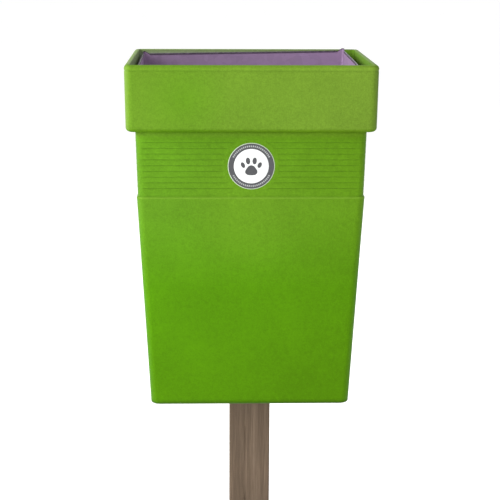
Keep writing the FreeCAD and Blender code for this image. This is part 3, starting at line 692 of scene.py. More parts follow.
def post_timber():
    """Weathered sawn softwood: long silvered grain, darker latewood, damp stain low down."""
    material, tree, shader, here = new_material("post_timber")
    long_coords = object_coords(tree, (1.0, 1.0, 0.035))
    fibre = noise_tex(tree, long_coords, 420.0, 8.0, 0.7)
    band = noise_tex(tree, long_coords, 70.0, 5.0, 0.6)
    mixed = maths(tree, "ADD", maths(tree, "MULTIPLY", fibre, 0.55), maths(tree, "MULTIPLY", band, 0.45))
    tone = ramp(tree, mixed, [
        (0.30, (0.040, 0.026, 0.015)),
        (0.45, (0.088, 0.059, 0.037)),
        (0.56, (0.128, 0.088, 0.058)),
        (0.72, (0.205, 0.152, 0.108)),
    ])
    stain = noise_tex(tree, here, 6.0, 4.0, 0.6)
    stained = mix_colour(tree, remap(tree, stain, 0.4, 0.7, 0.0, 0.35), tone, (0.080, 0.057, 0.041))
    silver = remap(tree, axis_value(tree, here, "Z"), 0.10, 0.52, 0.13, 0.0)
    final = mix_colour(tree, silver, stained, (0.120, 0.092, 0.070))
    damp = remap(tree, axis_value(tree, here, "Z"), 0.19, 0.28, 0.89, 1.0)
    coat(tree, shader, scaled_colour(tree, final, damp), (fibre, 0.68, 0.92), 0.25)
    bump(tree, shader, mixed, 0.0012, 0.6)
    return material


def studio_floor():
    material, tree, shader, here = new_material("studio_floor")
    faint = noise_tex(tree, here, 3.0, 3.0, 0.5)
    tone = ramp(tree, faint, [(0.3, grey(0.90)), (0.7, grey(0.93))])
    tree.links.new(tone, shader.inputs["Base Color"])
    shader.inputs["Emission Color"].default_value = (1.0, 1.0, 1.0, 1.0)
    shader.inputs["Emission Strength"].default_value = 0.22
    shader.inputs["Roughness"].default_value = 0.9
    shader.inputs["Specular IOR Level"].default_value = 0.0
    return material


# ======== the shell ========

def front_fractions():
    """Positions across the front, close together around the label and wider apart beyond it."""
    half = COLLAR_W / 2 - OVERHANG - BODY_R_FRONT
    fine = (LABEL_PAD_R + 4 * MM) / half
    inner = [fine * (2 * i / FRONT_COLUMNS_FINE - 1) for i in range(FRONT_COLUMNS_FINE + 1)]
    outer = [fine + (1 - fine) * (i + 1) / FRONT_COLUMNS_WIDE for i in range(FRONT_COLUMNS_WIDE)]
    return [-f for f in reversed(outer)] + inner + outer


def plan_ring(cx, half_w, y_front, y_back, r_front, r_back, fractions=None, sides=SIDE_COLUMNS):
    """Points round a rectangle with round corners: (position, outward direction, where it is)."""
    fractions = fractions or front_fractions()
    ring = []
    span = half_w - r_front
    for f in fractions[:-1]:
        ring.append((Vector((cx + f * span, y_front, 0)), Vector((0, -1, 0)), "front"))

    def corner(centre, radius, start, steps, tag):
        for i in range(steps + 1):
            a = math.radians(start + 90 * i / steps)
            out = Vector((math.cos(a), math.sin(a), 0))
            ring.append((centre + out * radius, out, tag))

    corner(Vector((cx + half_w - r_front, y_front + r_front, 0)), r_front, -90, CORNER_FRONT, "corner")
    y0, y1 = y_front + r_front, y_back - r_back
    for i in range(1, sides):
        ring.append((Vector((cx + half_w, y0 + (y1 - y0) * i / sides, 0)), Vector((1, 0, 0)), "side"))
    corner(Vector((cx + half_w - r_back, y_back - r_back, 0)), r_back, 0, CORNER_BACK, "back_corner")
    back_span = half_w - r_back
    for f in fractions[::-1][1:-1]:
        ring.append((Vector((cx + f * back_span, y_back, 0)), Vector((0, 1, 0)), "back"))
    corner(Vector((cx - half_w + r_back, y_back - r_back, 0)), r_back, 90, CORNER_BACK, "back_corner")
    for i in range(1, sides):
        ring.append((Vector((cx - half_w, y1 + (y0 - y1) * i / sides, 0)), Vector((-1, 0, 0)), "side"))
    corner(Vector((cx - half_w + r_front, y_front + r_front, 0)), r_front, 180, CORNER_FRONT, "corner")
    ring.pop()
    return ring


def band_inset(drop):
    return OVERHANG + slope(BAND_DRAFT, drop - COLLAR_H)


def lower_inset(drop):
    return band_inset(STEP_TOP) - STEP_OUT + slope(BODY_DRAFT, drop - STEP_TOP)


def label_seat():
    """Centre of the label's seat on the pad and the way it faces."""
    a = math.radians(BAND_DRAFT)
    normal = Vector((0, -math.cos(a), -math.sin(a)))
    y = FRONT_Y + band_inset(LABEL_DROP) - LAP_OUT
    return Vector((BIN_X, y, RIM_Z - LABEL_DROP)), normal


def moulding_wave(point, tag):
    """Slow unevenness of a moulded wall, fading out at the corners."""
    if tag not in ("front", "side"):
        return 0.0
    slow = noise.noise(Vector((point.x * 9.0, point.y * 9.0, point.z * 7.0)))
    slower = noise.noise(Vector((point.x * 3.1 + 5.0, point.y * 3.1, point.z * 2.7)))
    return WAVE * (0.5 * slow + 0.9 * slower)


def shell_row(drop, inset, r_front, r_back, back, relief=0.0, wave=True):
    """One ring of the shell at a drop below the rim."""
    half_w = COLLAR_W / 2 - inset
    y_front = FRONT_Y + inset
    row = []
    for point, out, tag in plan_ring(BIN_X, half_w, y_front, BACK_Y - back, r_front, r_back):
        place = point + Vector((0, 0, RIM_Z - drop))
        height = relief
        if tag == "back":
            height = 0.0
        if tag in ("side", "back_corner") and on_band(drop):
            height = relief * SIDE_LAPS
        if tag == "corner" and on_band(drop):
            height = relief * CORNER_LAPS
        if tag == "front" and on_band(drop):
            away = math.hypot(place.x - BIN_X, drop - LABEL_DROP)
            pad = 1.0 - smooth_step(LABEL_PAD_R - LABEL_PAD_FADE, LABEL_PAD_R, away)
            height = relief * (1 - pad) + LAP_OUT * pad
        if wave:
            height += moulding_wave(place, tag) * (0.35 if on_band(drop) else 1.0)
        row.append(place + out * height)
    return row


def on_band(drop):
    return COLLAR_H + 2 * MM < drop < STEP_TOP - 0.5 * MM


def lap_relief():
    """Down the band: each lap swells to a rounded lip, with a narrow groove under it."""
    rows = []
    tops = [COLLAR_H] + [LAP_FIRST + i * LAP_PITCH for i in range(LAP_COUNT - 1)]
    for i, top in enumerate(tops):
        lip = LAP_FIRST + i * LAP_PITCH
        start = top + (0.3 if i == 0 else 1.3) * MM
        rows.append((start, 0.0))
        for part in (0.25, 0.5, 0.75):
            rows.append((start + (lip - 1.5 * MM - start) * part, LAP_OUT * part ** 1.4))
        rows.extend((lip + past, out) for past, out in LIP_PROFILE)
    last = LAP_FIRST + (LAP_COUNT - 1) * LAP_PITCH
    rows.append((last + 1.5 * MM, 0.0))
    rows.append((STEP_TOP - 2.0 * MM, 0.0))
    return rows


def shell_rows():
    """All rings, from the middle of the floor inside, up over the rim and down to the underside."""
    rows = []
    floor_drop = BIN_HEIGHT - FLOOR_T
    inner_r = BODY_R_FRONT - BODY_WALL
    inner_back_r = 4.0 * MM

    def inside(drop, inset, extra=0.0, r=inner_r):
        rows.append(shell_row(drop, inset + extra, r, inner_back_r, BACK_WALL + extra, wave=False))

    def collar(drop, inset, relief=0.0):
        rows.append(shell_row(drop, inset, COLLAR_R_FRONT, COLLAR_R_BACK, 0.0, relief))

    def body(drop, inset, relief=0.0):
        rows.append(shell_row(drop, inset, BODY_R_FRONT, BODY_R_BACK, 0.0, relief))

    foot = lower_inset(floor_drop) + BODY_WALL
    for a in (90, 60, 30, 0):
        turn = math.radians(a)
        inside(floor_drop - 4 * MM * (1 - math.sin(turn)), foot, 4 * MM * (1 - math.cos(turn)))
    for part in (0.75, 0.5, 0.25):
        drop = STEP_TOP + BODY_WALL + (floor_drop - STEP_TOP) * part
        inside(drop, lower_inset(drop) + BODY_WALL)
    inside(STEP_TOP + BODY_WALL, lower_inset(STEP_TOP + BODY_WALL) + BODY_WALL)
    inside(STEP_TOP + BODY_WALL - STEP_OUT, band_inset(STEP_TOP) + BODY_WALL)
    for part in (0.66, 0.33):
        drop = COLLAR_H + (STEP_TOP - COLLAR_H) * part
        inside(drop, band_inset(drop) + BODY_WALL)
    ledge = COLLAR_H - BODY_WALL
    inside(ledge + 2 * MM, band_inset(COLLAR_H) + BODY_WALL)
    inside(ledge + 0.6 * MM, band_inset(COLLAR_H) + BODY_WALL - 0.5 * MM)
    inside(ledge, band_inset(COLLAR_H) + BODY_WALL - 2 * MM)
    collar_r = COLLAR_R_FRONT - COLLAR_WALL
    wall = COLLAR_WALL + slope(COLLAR_DRAFT, ledge)
    inside(ledge, wall + 3 * MM, 0.0, collar_r)
    inside(ledge - 1 * MM, wall + 1 * MM, 0.0, collar_r)
    inside(ledge - 3 * MM, wall, 0.0, collar_r)
    for part in (0.7, 0.4, 0.12):
        inside(ledge * part, COLLAR_WALL + slope(COLLAR_DRAFT, ledge * part), 0.0, collar_r)
    for a in (0, 30, 60, 90):
        turn = math.radians(a)
        step = RIM_INNER_ROUND * (1 - math.cos(turn))
        drop = RIM_INNER_ROUND * (1 - math.sin(turn))
        inside(drop, COLLAR_WALL, -step, collar_r + step)
    for a in (0, *ROUND_STEPS):
        turn = math.radians(a)
        inset = RIM_ROUND * (1 - math.sin(turn))
        back = RIM_BACK_ROUND * (1 - math.sin(turn))
        drop = RIM_ROUND * (1 - math.cos(turn))
        r_front, r_back = COLLAR_R_FRONT - inset, COLLAR_R_BACK - inset * 0.6
        rows.append(shell_row(drop, inset, r_front, r_back, back, wave=False))
    collar_end = COLLAR_H - COLLAR_FOOT_ROUND
    for part in (-1.0, -0.7, -0.4, -0.15, 0.0, 0.15, 0.4, 0.7, 1.0):
        drop = RIM_GROOVE_DROP + RIM_GROOVE_W / 2 * part
        relief = -RIM_GROOVE_IN * (0.5 + 0.5 * math.cos(math.pi * part))
        collar(drop, slope(COLLAR_DRAFT, drop), relief)
    start = RIM_GROOVE_DROP + RIM_GROOVE_W / 2
    for i in range(1, COLLAR_ROWS + 1):
        drop = start + (collar_end - start) * i / COLLAR_ROWS
        collar(drop, slope(COLLAR_DRAFT, drop))
    draft = slope(COLLAR_DRAFT, collar_end)
    for a in ROUND_STEPS:
        turn = math.radians(a)
        inset = draft + COLLAR_FOOT_ROUND * (1 - math.cos(turn))
        drop = collar_end + COLLAR_FOOT_ROUND * math.sin(turn)
        rows.append(shell_row(drop, inset, COLLAR_R_FRONT - inset * 0.5, COLLAR_R_BACK - inset * 0.5, 0.0))
    top_inset = band_inset(COLLAR_H)
    body(COLLAR_H, top_inset - 1.2 * MM)
    body(COLLAR_H + 0.15 * MM, top_inset - 0.4 * MM)
    for drop, relief in lap_relief():
        body(drop, band_inset(drop), relief)
    for drop, out in ((0.0, 0.0), (0.35, 0.3), (0.9, 0.62), (1.5, 0.86), (2.2, 0.97), (3.2, 1.0)):
        body(STEP_TOP + drop * MM, band_inset(STEP_TOP) - STEP_OUT * out)
    wall_end = BIN_HEIGHT - BASE_ROUND
    start = STEP_TOP + 6 * MM
    for i in range(BODY_ROWS + 1):
        drop = start + (wall_end - start) * i / BODY_ROWS
        body(drop, lower_inset(drop))
    end_inset = lower_inset(wall_end)
    for a in ROUND_STEPS:
        turn = math.radians(a)
        inset = end_inset + BASE_ROUND * (1 - math.cos(turn))
        drop = wall_end + BASE_ROUND * math.sin(turn)
        back = RIM_BACK_ROUND * (1 - math.cos(turn))
        rows.append(shell_row(drop, inset, BODY_R_FRONT, BODY_R_BACK, back, wave=False))
    return rows


def outer_inset(drop):
    """How far the outer face lies inside the rim's outline, at any drop."""
    foot = COLLAR_H - COLLAR_FOOT_ROUND
    if drop < foot:
        return slope(COLLAR_DRAFT, drop)
    if drop < COLLAR_H - 2 * MM:
        part = (drop - foot) / COLLAR_FOOT_ROUND
        return slope(COLLAR_DRAFT, foot) + COLLAR_FOOT_ROUND * (1 - math.sqrt(1 - part * part))
    return band_inset(drop) if drop < STEP_TOP else lower_inset(drop)


def faces_inside(point):
    """Whether a face centre lies on the shell's inner side."""
    drop = RIM_Z - point.z
    if drop < RIM_INNER_ROUND or drop > BIN_HEIGHT - FLOOR_T / 2:
        return False
    inset = outer_inset(drop)
    from_side = COLLAR_W / 2 - inset - abs(point.x - BIN_X)
    from_front = point.y - (FRONT_Y + inset)
    radius = COLLAR_R_FRONT if drop < COLLAR_H else BODY_R_FRONT
    depth = min(from_side, from_front)
    if from_side < radius and from_front < radius:
        depth = radius - math.hypot(radius - from_side, radius - from_front)
    from_back = BACK_Y - point.y
    if from_side < COLLAR_R_BACK and from_back < COLLAR_R_BACK:
        depth = COLLAR_R_BACK - math.hypot(COLLAR_R_BACK - from_side, COLLAR_R_BACK - from_back)
    return depth > 2.5 * MM and from_back > BACK_WALL / 2


def make_shell(material, inner_material):
    rows = shell_rows()
    shell = new_object("bin_shell", flatten(rows), bridge(rows, True, True), material, 50.0)
    low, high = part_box("liner_base")
    middle = (low + high) / 2
    tools = []
    for sx in (-1, 1):
        for sy in (-1, 1):
            base = (BIN_X + sx * DRAIN_X, middle.y + sy * DRAIN_Y, BASE_Z - OVERCUT)
            tools.append(cylinder_tool(DRAIN_R, base, (0, 0, 1), FLOOR_T + 3 * OVERCUT))
    bolts_low, bolts_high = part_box("shell_bolts")
    for x in (bolts_low.x + CUP_HEAD_R, bolts_high.x - CUP_HEAD_R):
        for z in (bolts_low.z + CUP_HEAD_R, bolts_high.z - CUP_HEAD_R):
            base = (x, BACK_Y - BACK_WALL - OVERCUT, z)
            tools.append(cylinder_tool(BOLT_HOLE_R, base, (0, 1, 0), BACK_WALL + 2 * OVERCUT))
    cut_away(shell, tools, material, 50.0)
    shell.data.materials.append(inner_material)
    for polygon in shell.data.polygons:
        if faces_inside(polygon.center):
            polygon.material_index = 1
    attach(shell, "root")
    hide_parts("shell")


def make_floor_pads(material):
    """Four low pads that hold the liner clear of the floor."""
    foot = LINER_HALF_W - slope(LINER_DRAFT, BIN_HEIGHT)
    front = LINER_BACK_Y - LINER_DEPTH + slope(LINER_DRAFT, LINER_TOP_Z - LINER_BASE_Z)
    floor_z = BASE_Z + FLOOR_T
    # how far in and how high, from just inside the floor up over a rounded upper edge
    profile = ((0.0, -0.5 * MM), (0.0, PAD_H - 0.8 * MM), (0.3 * MM, PAD_H - 0.2 * MM), (1.0 * MM, PAD_H))
    verts, faces = [], []
    for side in (-1, 1):
        for y in (front + PAD_INSET, LINER_BACK_Y - PAD_INSET):
            x = BIN_X + side * (foot - PAD_INSET)
            rings = []
            for shrink, z in profile:
                outline = round_square(PAD_SIDE / 2 - shrink, PAD_R)
                rings.append([Vector((x + p.x, y + p.y, floor_z + z)) for p in outline])
            add_part(verts, faces, rings)
    pads = new_object("shell_floor_pads", verts, faces, material, 40.0)
    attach(pads, "root")


def round_square(half, radius, steps=6):
    points = []
    for turn in range(4):
        for i in range(steps + 1):
            a = math.radians(90 * turn + 90 * i / steps)
            sx = 1 if turn in (0, 3) else -1
            sy = 1 if turn in (0, 1) else -1
            centre = Vector((sx * (half - radius), sy * (half - radius)))
            points.append(centre + Vector((math.cos(a), math.sin(a))) * radius)
    return points


# ======== the liner ========

def liner_half_w(z):
    return LINER_HALF_W - slope(LINER_DRAFT, LINER_TOP_Z - z)


def liner_front_y(z):
    return LINER_BACK_Y - LINER_DEPTH + slope(LINER_DRAFT, LINER_TOP_Z - z)


def edge_shift(x, y, z):
    """How far the hand-folded top edge runs off level."""
    reach = smooth_step(LINER_TOP_Z - EDGE_REACH, LINER_TOP_Z, z)
    across = (x - LINER_X) / LINER_HALF_W
    along = (LINER_BACK_Y - y) / LINER_DEPTH
    return reach * (EDGE_LIFT + EDGE_ROLL * across - EDGE_PITCH * along)


def panel_wave(x, y, z):
    """Oil-canning of the thin sheet, still near the foot and the corners."""
    half_w, front = liner_half_w(z), liner_front_y(z)
    corner = min(max(half_w - abs(x - LINER_X), 0.0), 1.0)
    depth = min(max(min(y - front, LINER_BACK_Y - y), 0.0), 1.0)
    calm = smooth_step(4 * MM, 60 * MM, max(corner, depth))
    calm *= smooth_step(LINER_BASE_Z + 20 * MM, LINER_BASE_Z + 110 * MM, z)
    slow = noise.noise(Vector((x * 8.0 + 3.0, y * 8.0, z * 6.0)))
    fast = noise.noise(Vector((x * 21.0, y * 21.0 + 7.0, z * 15.0)))
    return PANEL_WAVE * calm * (slow + 0.35 * fast)


def liner_fractions():
    """Across a panel, with points where the corner tips start and end."""
    half = LINER_HALF_W - LINER_R
    tip = 1 - TIP_RUN / half
    middle = [tip * (2 * i / LINER_COLUMNS - 1) for i in range(LINER_COLUMNS + 1)]
    ends = [tip + (1 - tip) * part for part in (0.25, 0.5, 0.75, 1.0)]
    return [-e for e in reversed(ends)] + middle + ends


def liner_ring(z, inset, raised=False, below=0.0):
    half_w = liner_half_w(z) - inset
    front = liner_front_y(z) + inset
    back = LINER_BACK_Y - inset
    r = LINER_R - inset
    ring = []
    for point, out, tag in plan_ring(LINER_X, half_w, front, back, r, r, liner_fractions(), LINER_SIDES):
        height = z
        if raised:
            to_side = half_w - r - abs(point.x - LINER_X)
            to_end = min(point.y - front, back - point.y) - r
            run = max(to_side if tag in ("front", "back") else 0.0, to_end if tag == "side" else 0.0, 0.0)
            height += TIP_RISE * (1 - min(run / TIP_RUN, 1.0)) - below
        place = Vector((point.x, point.y, height)) + out * panel_wave(point.x, point.y, z)
        place.z += edge_shift(point.x, point.y, z)
        ring.append(place)
    return ring


def make_liner_wrap(material, edge_material):
    """Folded sheet box, open top and bottom, with a pointed tip at each corner."""
    height = LINER_TOP_Z - LINER_BASE_Z
    levels = [LINER_BASE_Z + height * i / LINER_ROWS for i in range(LINER_ROWS + 1)]
    levels = levels[:-1] + [LINER_TOP_Z - HEM_H, LINER_TOP_Z - EDGE_BAND - 0.4 * MM]

    def wall(inset):
        lower = [liner_ring(z, inset) for z in levels]
        return lower + [liner_ring(LINER_TOP_Z, inset, True, EDGE_BAND), liner_ring(LINER_TOP_Z, inset, True)]

    outer, inner = wall(0.0), wall(SHEET)
    rings = outer + inner[::-1]
    count = len(outer[0])
    wrap = new_object("liner_sheet", flatten(rings), bridge(rings, loop=True), material, 35.0)
    # The top edge rows take the dark edge colour: painted shade along the sheet's top edge.
    wrap.data.materials.append(edge_material)
    edge_row = len(outer) - 2
    for polygon in wrap.data.polygons[edge_row * count:(edge_row + 3) * count]:
        polygon.material_index = 1
    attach(wrap, "liner")
    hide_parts("liner_wrap")


def hem_path(side):
    """Points along one panel's top edge between its tips, with the outward direction."""
    clear = TIP_RUN + LINER_R
    left, right = LINER_X - LINER_HALF_W, LINER_X + LINER_HALF_W
    front, back = liner_front_y(LINER_TOP_Z), LINER_BACK_Y
    start, end, out = {
        "front": ((left + clear, front), (right - clear, front), (0, -1)),
        "right": ((right, front + clear), (right, back - clear), (1, 0)),
        "back": ((right - clear, back), (left + clear, back), (0, 1)),
        "left": ((left, back - clear), (left, front + clear), (-1, 0)),
    }[side]
    start, end, out = (Vector((*pair, 0)) for pair in (start, end, out))
    path = []
    for i in range(HEM_STEPS + 1):
        point = start.lerp(end, i / HEM_STEPS)
        point += out * panel_wave(point.x, point.y, LINER_TOP_Z)
        point.z = LINER_TOP_Z + edge_shift(point.x, point.y, LINER_TOP_Z)
        path.append((point, out))
    return path


def make_hem(side, material, leg_material):
    """Folded-over strip: a small rolled crest, and a flat leg down the outside in the sheet's finish."""
    lean = math.tan(math.radians(LINER_DRAFT)) if side != "back" else 0.0
    section = []
    for a in range(0, 181, 20):
        turn = math.radians(180 - a)
        section.append((-SHEET / 2 + 0.2 * MM + HEM_R * 1.25 * math.cos(turn), HEM_R * math.sin(turn)))
    leg = len(section)
    section += [(HEM_LEG, -2.0 * MM), (HEM_LEG, -HEM_H + 0.4 * MM), (1.0 * MM, -HEM_H)]
    section += [(0.35 * MM, -HEM_H), (0.3 * MM, -2.0 * MM), (-1.0 * MM, -0.9 * MM), (-1.6 * MM, -1.6 * MM)]
    rings = []
    for point, out in hem_path(side):
        rings.append([point + out * (u + lean * v) + Vector((0, 0, v)) for u, v in section])
    hem = new_object("liner_hem_" + side, flatten(rings), bridge(rings, True, True), material, 40.0)
    # The strip keeps the dark edge colour, painted shade along the top edge; the outer leg takes the sheet's
    # finish.
    hem.data.materials.append(leg_material)
    count = len(section)
    for polygon in hem.data.polygons:
        if polygon.index < (len(rings) - 1) * count and leg <= polygon.index % count < leg + 3:
            polygon.material_index = 1
    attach(hem, "liner")


# ======== wire handles ========

def make_handle(name, joint_name, material):
    """Closed wire loop swept along the CAD handle's own centre line."""
    low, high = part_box(name)
    wire_r = (high.x - low.x) / 2
    centre_x = (low.x + high.x) / 2
    joint = [j for j in frame["joints"] if j["name"] == joint_name][0]
    pivot = Vector(joint["pos_m"])
    half = HANDLE_HALF_W
    top, bottom = pivot.z, pivot.z - HANDLE_DROP
    path = []
    far, near = pivot.y + half - HANDLE_BEND, pivot.y - half + HANDLE_BEND
    high_z, low_z = top - HANDLE_BEND, bottom + HANDLE_BEND
    corners = ((far, high_z, 0), (near, high_z, 90), (near, low_z, 180), (far, low_z, 270))
    for cy, cz, start in corners:
        for i in range(BEND_STEPS + 1):
            a = math.radians(start + 90 * i / BEND_STEPS)
            path.append(Vector((centre_x, cy + HANDLE_BEND * math.cos(a), cz + HANDLE_BEND * math.sin(a))))
    rings = []
    count = len(path)
    for i, point in enumerate(path):
        along = (path[(i + 1) % count] - path[i - 1]).normalized()
        side = Vector((1, 0, 0))
        up = along.cross(side)
        ring = []
        for k in range(WIRE_SIDES):
            a = 2 * math.pi * k / WIRE_SIDES
            ring.append(point + (side * math.cos(a) + up * math.sin(a)) * wire_r)
        rings.append(ring)
    handle = new_object(name + "_wire", flatten(rings), bridge(rings, loop=True), material, 60.0)
    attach(handle, name)
    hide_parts(name)


# ======== the post ========

def make_post(material):
    """Sawn timber with raised grain, soft arrises and drying checks."""
    low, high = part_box("timber_post")
    half = (high.x - low.x) / 2
    centre = (low + high) / 2
    centre.z = 0.0
    plan = []
    for turn in range(4):
        spin = Matrix.Rotation(math.radians(90 * turn), 3, "Z")
        for i in range(POST_COLUMNS + 1):
            u = -half + POST_ARRIS + (2 * half - 2 * POST_ARRIS) * i / POST_COLUMNS
            plan.append((spin @ Vector((u, -half, 0)), spin @ Vector((0, -1, 0))))
        for part in (0.35, 0.7):
            a = math.radians(90 * part)
            out = Vector((math.sin(a), -math.cos(a), 0))
            corner = Vector((half - POST_ARRIS, -half + POST_ARRIS, 0)) + out * POST_ARRIS
            plan.append((spin @ corner, spin @ out))
    shoulder = high.z - POST_BEVEL
    count = int((shoulder - low.z) / POST_STEP) + 1
    levels = [low.z + POST_STEP * i for i in range(count)] + [shoulder]
    rings = []
    for z in levels:
        ring = []
        for point, out in plan:
            grain = noise.noise(Vector((point.x * 260.0, point.y * 260.0, z * 7.0)))
            coarse = noise.noise(Vector((point.x * 60.0 + 4.0, point.y * 60.0, z * 3.0)))
            depth = 0.32 * MM * grain + 0.28 * MM * coarse + drying_check(point, out, z)
            inward = min(depth, 0.0) - 0.05 * MM
            ring.append(centre + point + out * inward + Vector((0, 0, z)))
        rings.append(ring)
    for part, drop in ((0.15, 0.1), (0.5, 0.45), (0.85, 0.85), (1.0, 1.0)):
        ring = []
        for point, out in plan:
            shrink = (half - POST_BEVEL * part) / half
            rough_top = 0.25 * MM * noise.noise(Vector((point.x * 120.0, point.y * 120.0, 9.0)))
            z = shoulder + POST_BEVEL * drop + min(rough_top, 0.0)
            place = Vector((point.x * shrink, point.y * shrink, z))
            ring.append(centre + place)
        rings.append(ring)
    for shrink in (0.75, 0.5, 0.25, 0.06):
        ring = []
        for point, out in plan:
            angle = math.atan2(point.y, point.x)
            crack = check_on_end(angle, shrink)
            scale = (half - POST_BEVEL) / half * shrink
            ring.append(centre + Vector((point.x * scale, point.y * scale, high.z - crack)))
        rings.append(ring)
    post = new_object("post_timber", flatten(rings), bridge(rings, True, True), material, 55.0)
    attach(post, "root")
    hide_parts("timber_post")


def drying_check(point, out, z):
    """Narrow split that wanders along the grain."""
    depth = 0.0
    for face, offset, z0, z1, deep in CHECKS:
        if out.x * face[0] + out.y * face[1] < 0.99:
            continue
        across = point.x * face[1] - point.y * face[0]
        wander = 2.0 * MM * noise.noise(Vector((offset * 900.0, 0.0, z * 9.0)))
        ends = smooth_step(z0, z0 + CHECK_FADE, z) * (1 - smooth_step(z1 - CHECK_FADE, z1, z))
        near = 1 - smooth_step(0.3 * MM, 1.9 * MM, abs(across - offset - wander))
        depth -= deep * ends * near
    return depth


def check_on_end(angle, shrink):
    """Radial splits in the end grain."""
    depth = 0.0
    for middle in END_CHECKS:
        gap = abs((angle - middle + math.pi) % (2 * math.pi) - math.pi)
        depth += 1.6 * MM * (1 - smooth_step(0.02, 0.10, gap)) * (1 - shrink * 0.6)
    return depth + 0.2 * MM


# ======== the label ========

def label_matrix():
    seat, normal = label_seat()
    right = Vector((1, 0, 0))
    up = normal.cross(right)
    turn = Matrix((right, up, normal)).transposed().to_4x4()
    return Matrix.Translation(seat) @ turn


def slab(outline, z0, z1, edge=0.0):
    """Rings of a flat plate with a slightly rounded upper edge."""
    middle = sum(outline, Vector((0, 0))) / len(outline)
    rings = []
    for inset, z in ((0.0, z0), (0.0, z1 - edge), (edge * 0.3, z1 - edge * 0.3), (edge, z1)):
        ring = []
        for p in outline:
            toward = (middle - p).normalized() * inset
            ring.append(Vector((p.x + toward.x, p.y + toward.y, z)))
        rings.append(ring)
    return rings


def circle(radius, count=96):
    turns = [2 * math.pi * i / count for i in range(count)]
    return [Vector((radius * math.cos(a), radius * math.sin(a))) for a in turns]


def make_label_disc(material):
    seat = label_matrix()
    rings = slab(circle(LABEL_R), 0.0, LABEL_T, 0.2 * MM)
    verts = [seat @ p for p in flatten(rings)]
    disc = new_object("label_sticker", verts, bridge(rings, True, True), material, 30.0)
    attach(disc, "root")
    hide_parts("label_disc")


def annulus(inner, outer, z0, z1, count=128):
    rings = []
    for r, z in ((inner, z0), (inner, z1), (outer, z1), (outer, z0)):
        rings.append([Vector((p.x, p.y, z)) for p in circle(r, count)])
    return rings


def ellipse(x, y, half_w, half_h, turn_degrees, count=40):
    spin = math.radians(turn_degrees)
    points = []
    for i in range(count):
        a = 2 * math.pi * i / count
        u, v = half_w * math.cos(a), half_h * math.sin(a)
        px = x + u * math.cos(spin) - v * math.sin(spin)
        py = y + u * math.sin(spin) + v * math.cos(spin)
        points.append(Vector((px, py)))
    return points


def heel_outline(count=72):
    """Rounded three-lobed heel of the paw."""
    points = []
    for i in range(count):
        a = 2 * math.pi * i / count
        r = HEEL_R * (1 + 0.10 * math.cos(3 * (a - math.pi / 2)))
        points.append(Vector((1.12 * r * math.cos(a), -HEEL_DROP + r * math.sin(a) * 0.95)))
    return points


def add_part(verts, faces, rings, closed_tube=False):
    offset = len(verts)
    verts.extend(flatten(rings))
    made = bridge(rings, not closed_tube, not closed_tube, closed_tube)
    faces.extend(tuple(offset + i for i in face) for face in made)


def make_label_print(ink, pale):
    """Dark ring and paw print, and short pale dashes round the ring."""
    seat = label_matrix()
    z0, z1 = LABEL_T, LABEL_T + PRINT_T
    verts, faces = [], []
    add_part(verts, faces, annulus(RING_IN_R, RING_OUT_R, z0, z1), True)
    add_part(verts, faces, slab(heel_outline(), z0, z1))
    for side in (-1, 1):
        for across, up, half_w, half_h, lean in TOES:
            toe = ellipse(side * across, up, half_w, half_h, side * lean)
            add_part(verts, faces, slab(toe, z0, z1))
    mark = new_object("label_ring_and_paw", [seat @ v for v in verts], faces, ink, 30.0)
    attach(mark, "root")
    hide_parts("label_print")
    verts, faces = [], []
    middle_r = (RING_IN_R + RING_OUT_R) / 2
    for centre in (90, 270):
        for i in range(-DASHES, DASHES + 1):
            turn = centre + i * DASH_PITCH
            points = []
            for up, along in ((-1, -1), (-1, 1), (1, 1), (1, -1)):
                r, a = middle_r + up * DASH_HALF_H, math.radians(turn + along * DASH_HALF)
                points.append(Vector((r * math.cos(a), r * math.sin(a))))
            add_part(verts, faces, slab(points, z1, z1 + DASH_T))
    dashes = new_object("label_dashes", [seat @ v for v in verts], faces, pale, 30.0)
    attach(dashes, "root")


# ======== studio ========

def make_floor(material):
    rings = [[Vector((p.x, p.y, 0.0)) for p in circle(r, 64)] for r in FLOOR_RADII]
    floor = new_object("studio_floor", flatten(rings), bridge(rings, True), material)


def area_light(name, place, target, size, power, colour=(1, 1, 1)):
    light = bpy.data.lights.new(name, "AREA")
    light.energy = power
    light.color = colour
    light.size = size
    obj = bpy.data.objects.new(name, light)
    obj.location = place
    obj.rotation_euler = (Vector(target) - Vector(place)).to_track_quat("-Z", "Y").to_euler()
    bpy.context.scene.collection.objects.link(obj)


def make_lights():
    middle = (BIN_X, -0.2, 0.8)
    area_light("key_left", (-3.0, -1.6, 2.6), middle, 1.6, 135, (1.0, 0.995, 0.98))
    area_light("back_soft", (1.0, 3.4, 2.6), middle, 1.8, 60)
    area_light("front_fill", (-0.6, -4.2, 0.7), middle, 2.4, 55)


def make_world():
    world = bpy.data.worlds.new("studio")
    bpy.context.scene.world = world
    world.use_nodes = True
    tree = world.node_tree
    background = tree.nodes["Background"]
    coords = node(tree, "TexCoord")
    height = axis_value(tree, coords.outputs["Generated"], "Z")
    tone = ramp(tree, height, [(0.0, grey(1.0)), (0.15, grey(1.0)), (0.6, grey(0.85)), (1.0, grey(0.80))])
    across = remap(tree, axis_value(tree, coords.outputs["Generated"], "X"), -0.9, 0.9, 1.38, 0.62)
    tree.links.new(scaled_colour(tree, tone, across), background.inputs["Color"])
    background.inputs["Strength"].default_value = 1.0


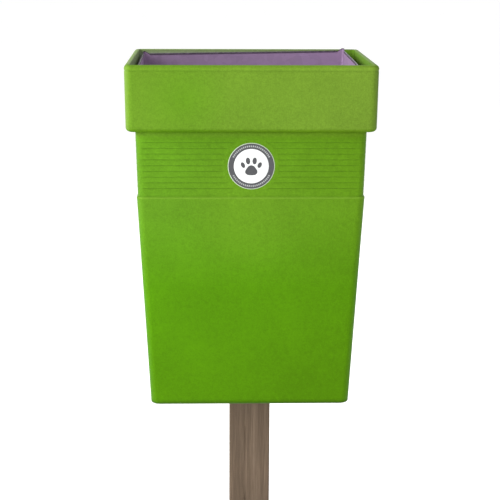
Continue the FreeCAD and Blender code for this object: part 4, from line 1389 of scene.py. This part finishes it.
def make_camera():
    camera = bpy.data.cameras.new("camera")
    camera.lens = CAMERA_LENS
    camera.sensor_width = 36.0
    camera.clip_start, camera.clip_end = 0.05, 60.0
    obj = bpy.data.objects.new("camera", camera)
    bpy.context.scene.collection.objects.link(obj)
    pitch, yaw, roll = (math.radians(a) for a in (CAMERA_PITCH, CAMERA_YAW, CAMERA_ROLL))
    ahead = Vector((math.sin(yaw) * math.cos(pitch), math.cos(yaw) * math.cos(pitch), -math.sin(pitch)))
    right = Vector((math.cos(yaw), -math.sin(yaw), 0.0))
    up = right.cross(ahead)
    tilted_right = right * math.cos(roll) + up * math.sin(roll)
    tilted_up = up * math.cos(roll) - right * math.sin(roll)
    turn = Matrix((tilted_right, tilted_up, -ahead)).transposed().to_4x4()
    place = Vector((BIN_X + CAMERA_RIGHT, FRONT_Y - CAMERA_BACK, RIM_Z + CAMERA_UP))
    obj.matrix_world = Matrix.Translation(place) @ turn
    bpy.context.scene.camera = obj


def dress(names, material):
    for name in names:
        for material_slot in frame["nodes"][name].material_slots:
            material_slot.material = material


def main():
    plastic = shell_plastic()
    zinc = liner_zinc()
    edge = liner_edge()
    bracket_zinc = galvanised("bracket_zinc", (0.52, 0.53, 0.54), (0.27, 0.28, 0.29), 140.0, 0.42, 0.62)
    bright_zinc = galvanised("bright_zinc", (0.66, 0.66, 0.64), (0.42, 0.42, 0.40), 400.0, 0.26, 0.45)
    rivet_alloy = galvanised("rivet_alloy", (0.62, 0.62, 0.63), (0.40, 0.40, 0.42), 500.0, 0.35, 0.5)
    wire_zinc = galvanised("wire_zinc", (0.60, 0.60, 0.60), (0.36, 0.36, 0.37), 260.0, 0.3, 0.5)
    vinyl = label_vinyl()
    ink = label_ink("label_ink", (0.020, 0.021, 0.024), (0.037, 0.037, 0.043))
    pale = label_ink("label_pale", (0.22, 0.23, 0.23), (0.32, 0.33, 0.33))
    timber = post_timber()

    inner = shell_inside()
    make_shell(plastic, inner)
    make_floor_pads(inner)
    make_liner_wrap(zinc, edge)
    for side in ("front", "right", "back", "left"):
        make_hem(side, edge, zinc)
    make_handle("left_handle", "left_handle_hinge", wire_zinc)
    make_handle("right_handle", "right_handle_hinge", wire_zinc)
    make_post(timber)
    make_label_disc(vinyl)
    make_label_print(ink, pale)

    for material, names in (
        (zinc, ("liner_base", "left_handle_clip", "right_handle_clip")),
        (bracket_zinc, ("upper_post_bracket", "lower_post_bracket")),
        (bracket_zinc, ("upper_backing_strap", "lower_backing_strap")),
        (bright_zinc, ("coach_screws", "coach_screw_washers")),
        (bright_zinc, ("shell_bolts", "shell_bolt_washers", "shell_bolt_nuts")),
        (rivet_alloy, ("liner_rivets", "handle_clip_rivets")),
    ):
        dress(names, material)

    make_floor(studio_floor())
    make_lights()
    make_world()
    make_camera()
    bpy.context.scene.view_settings.view_transform = "Standard"
    bpy.context.scene.view_settings.look = "None"


main()
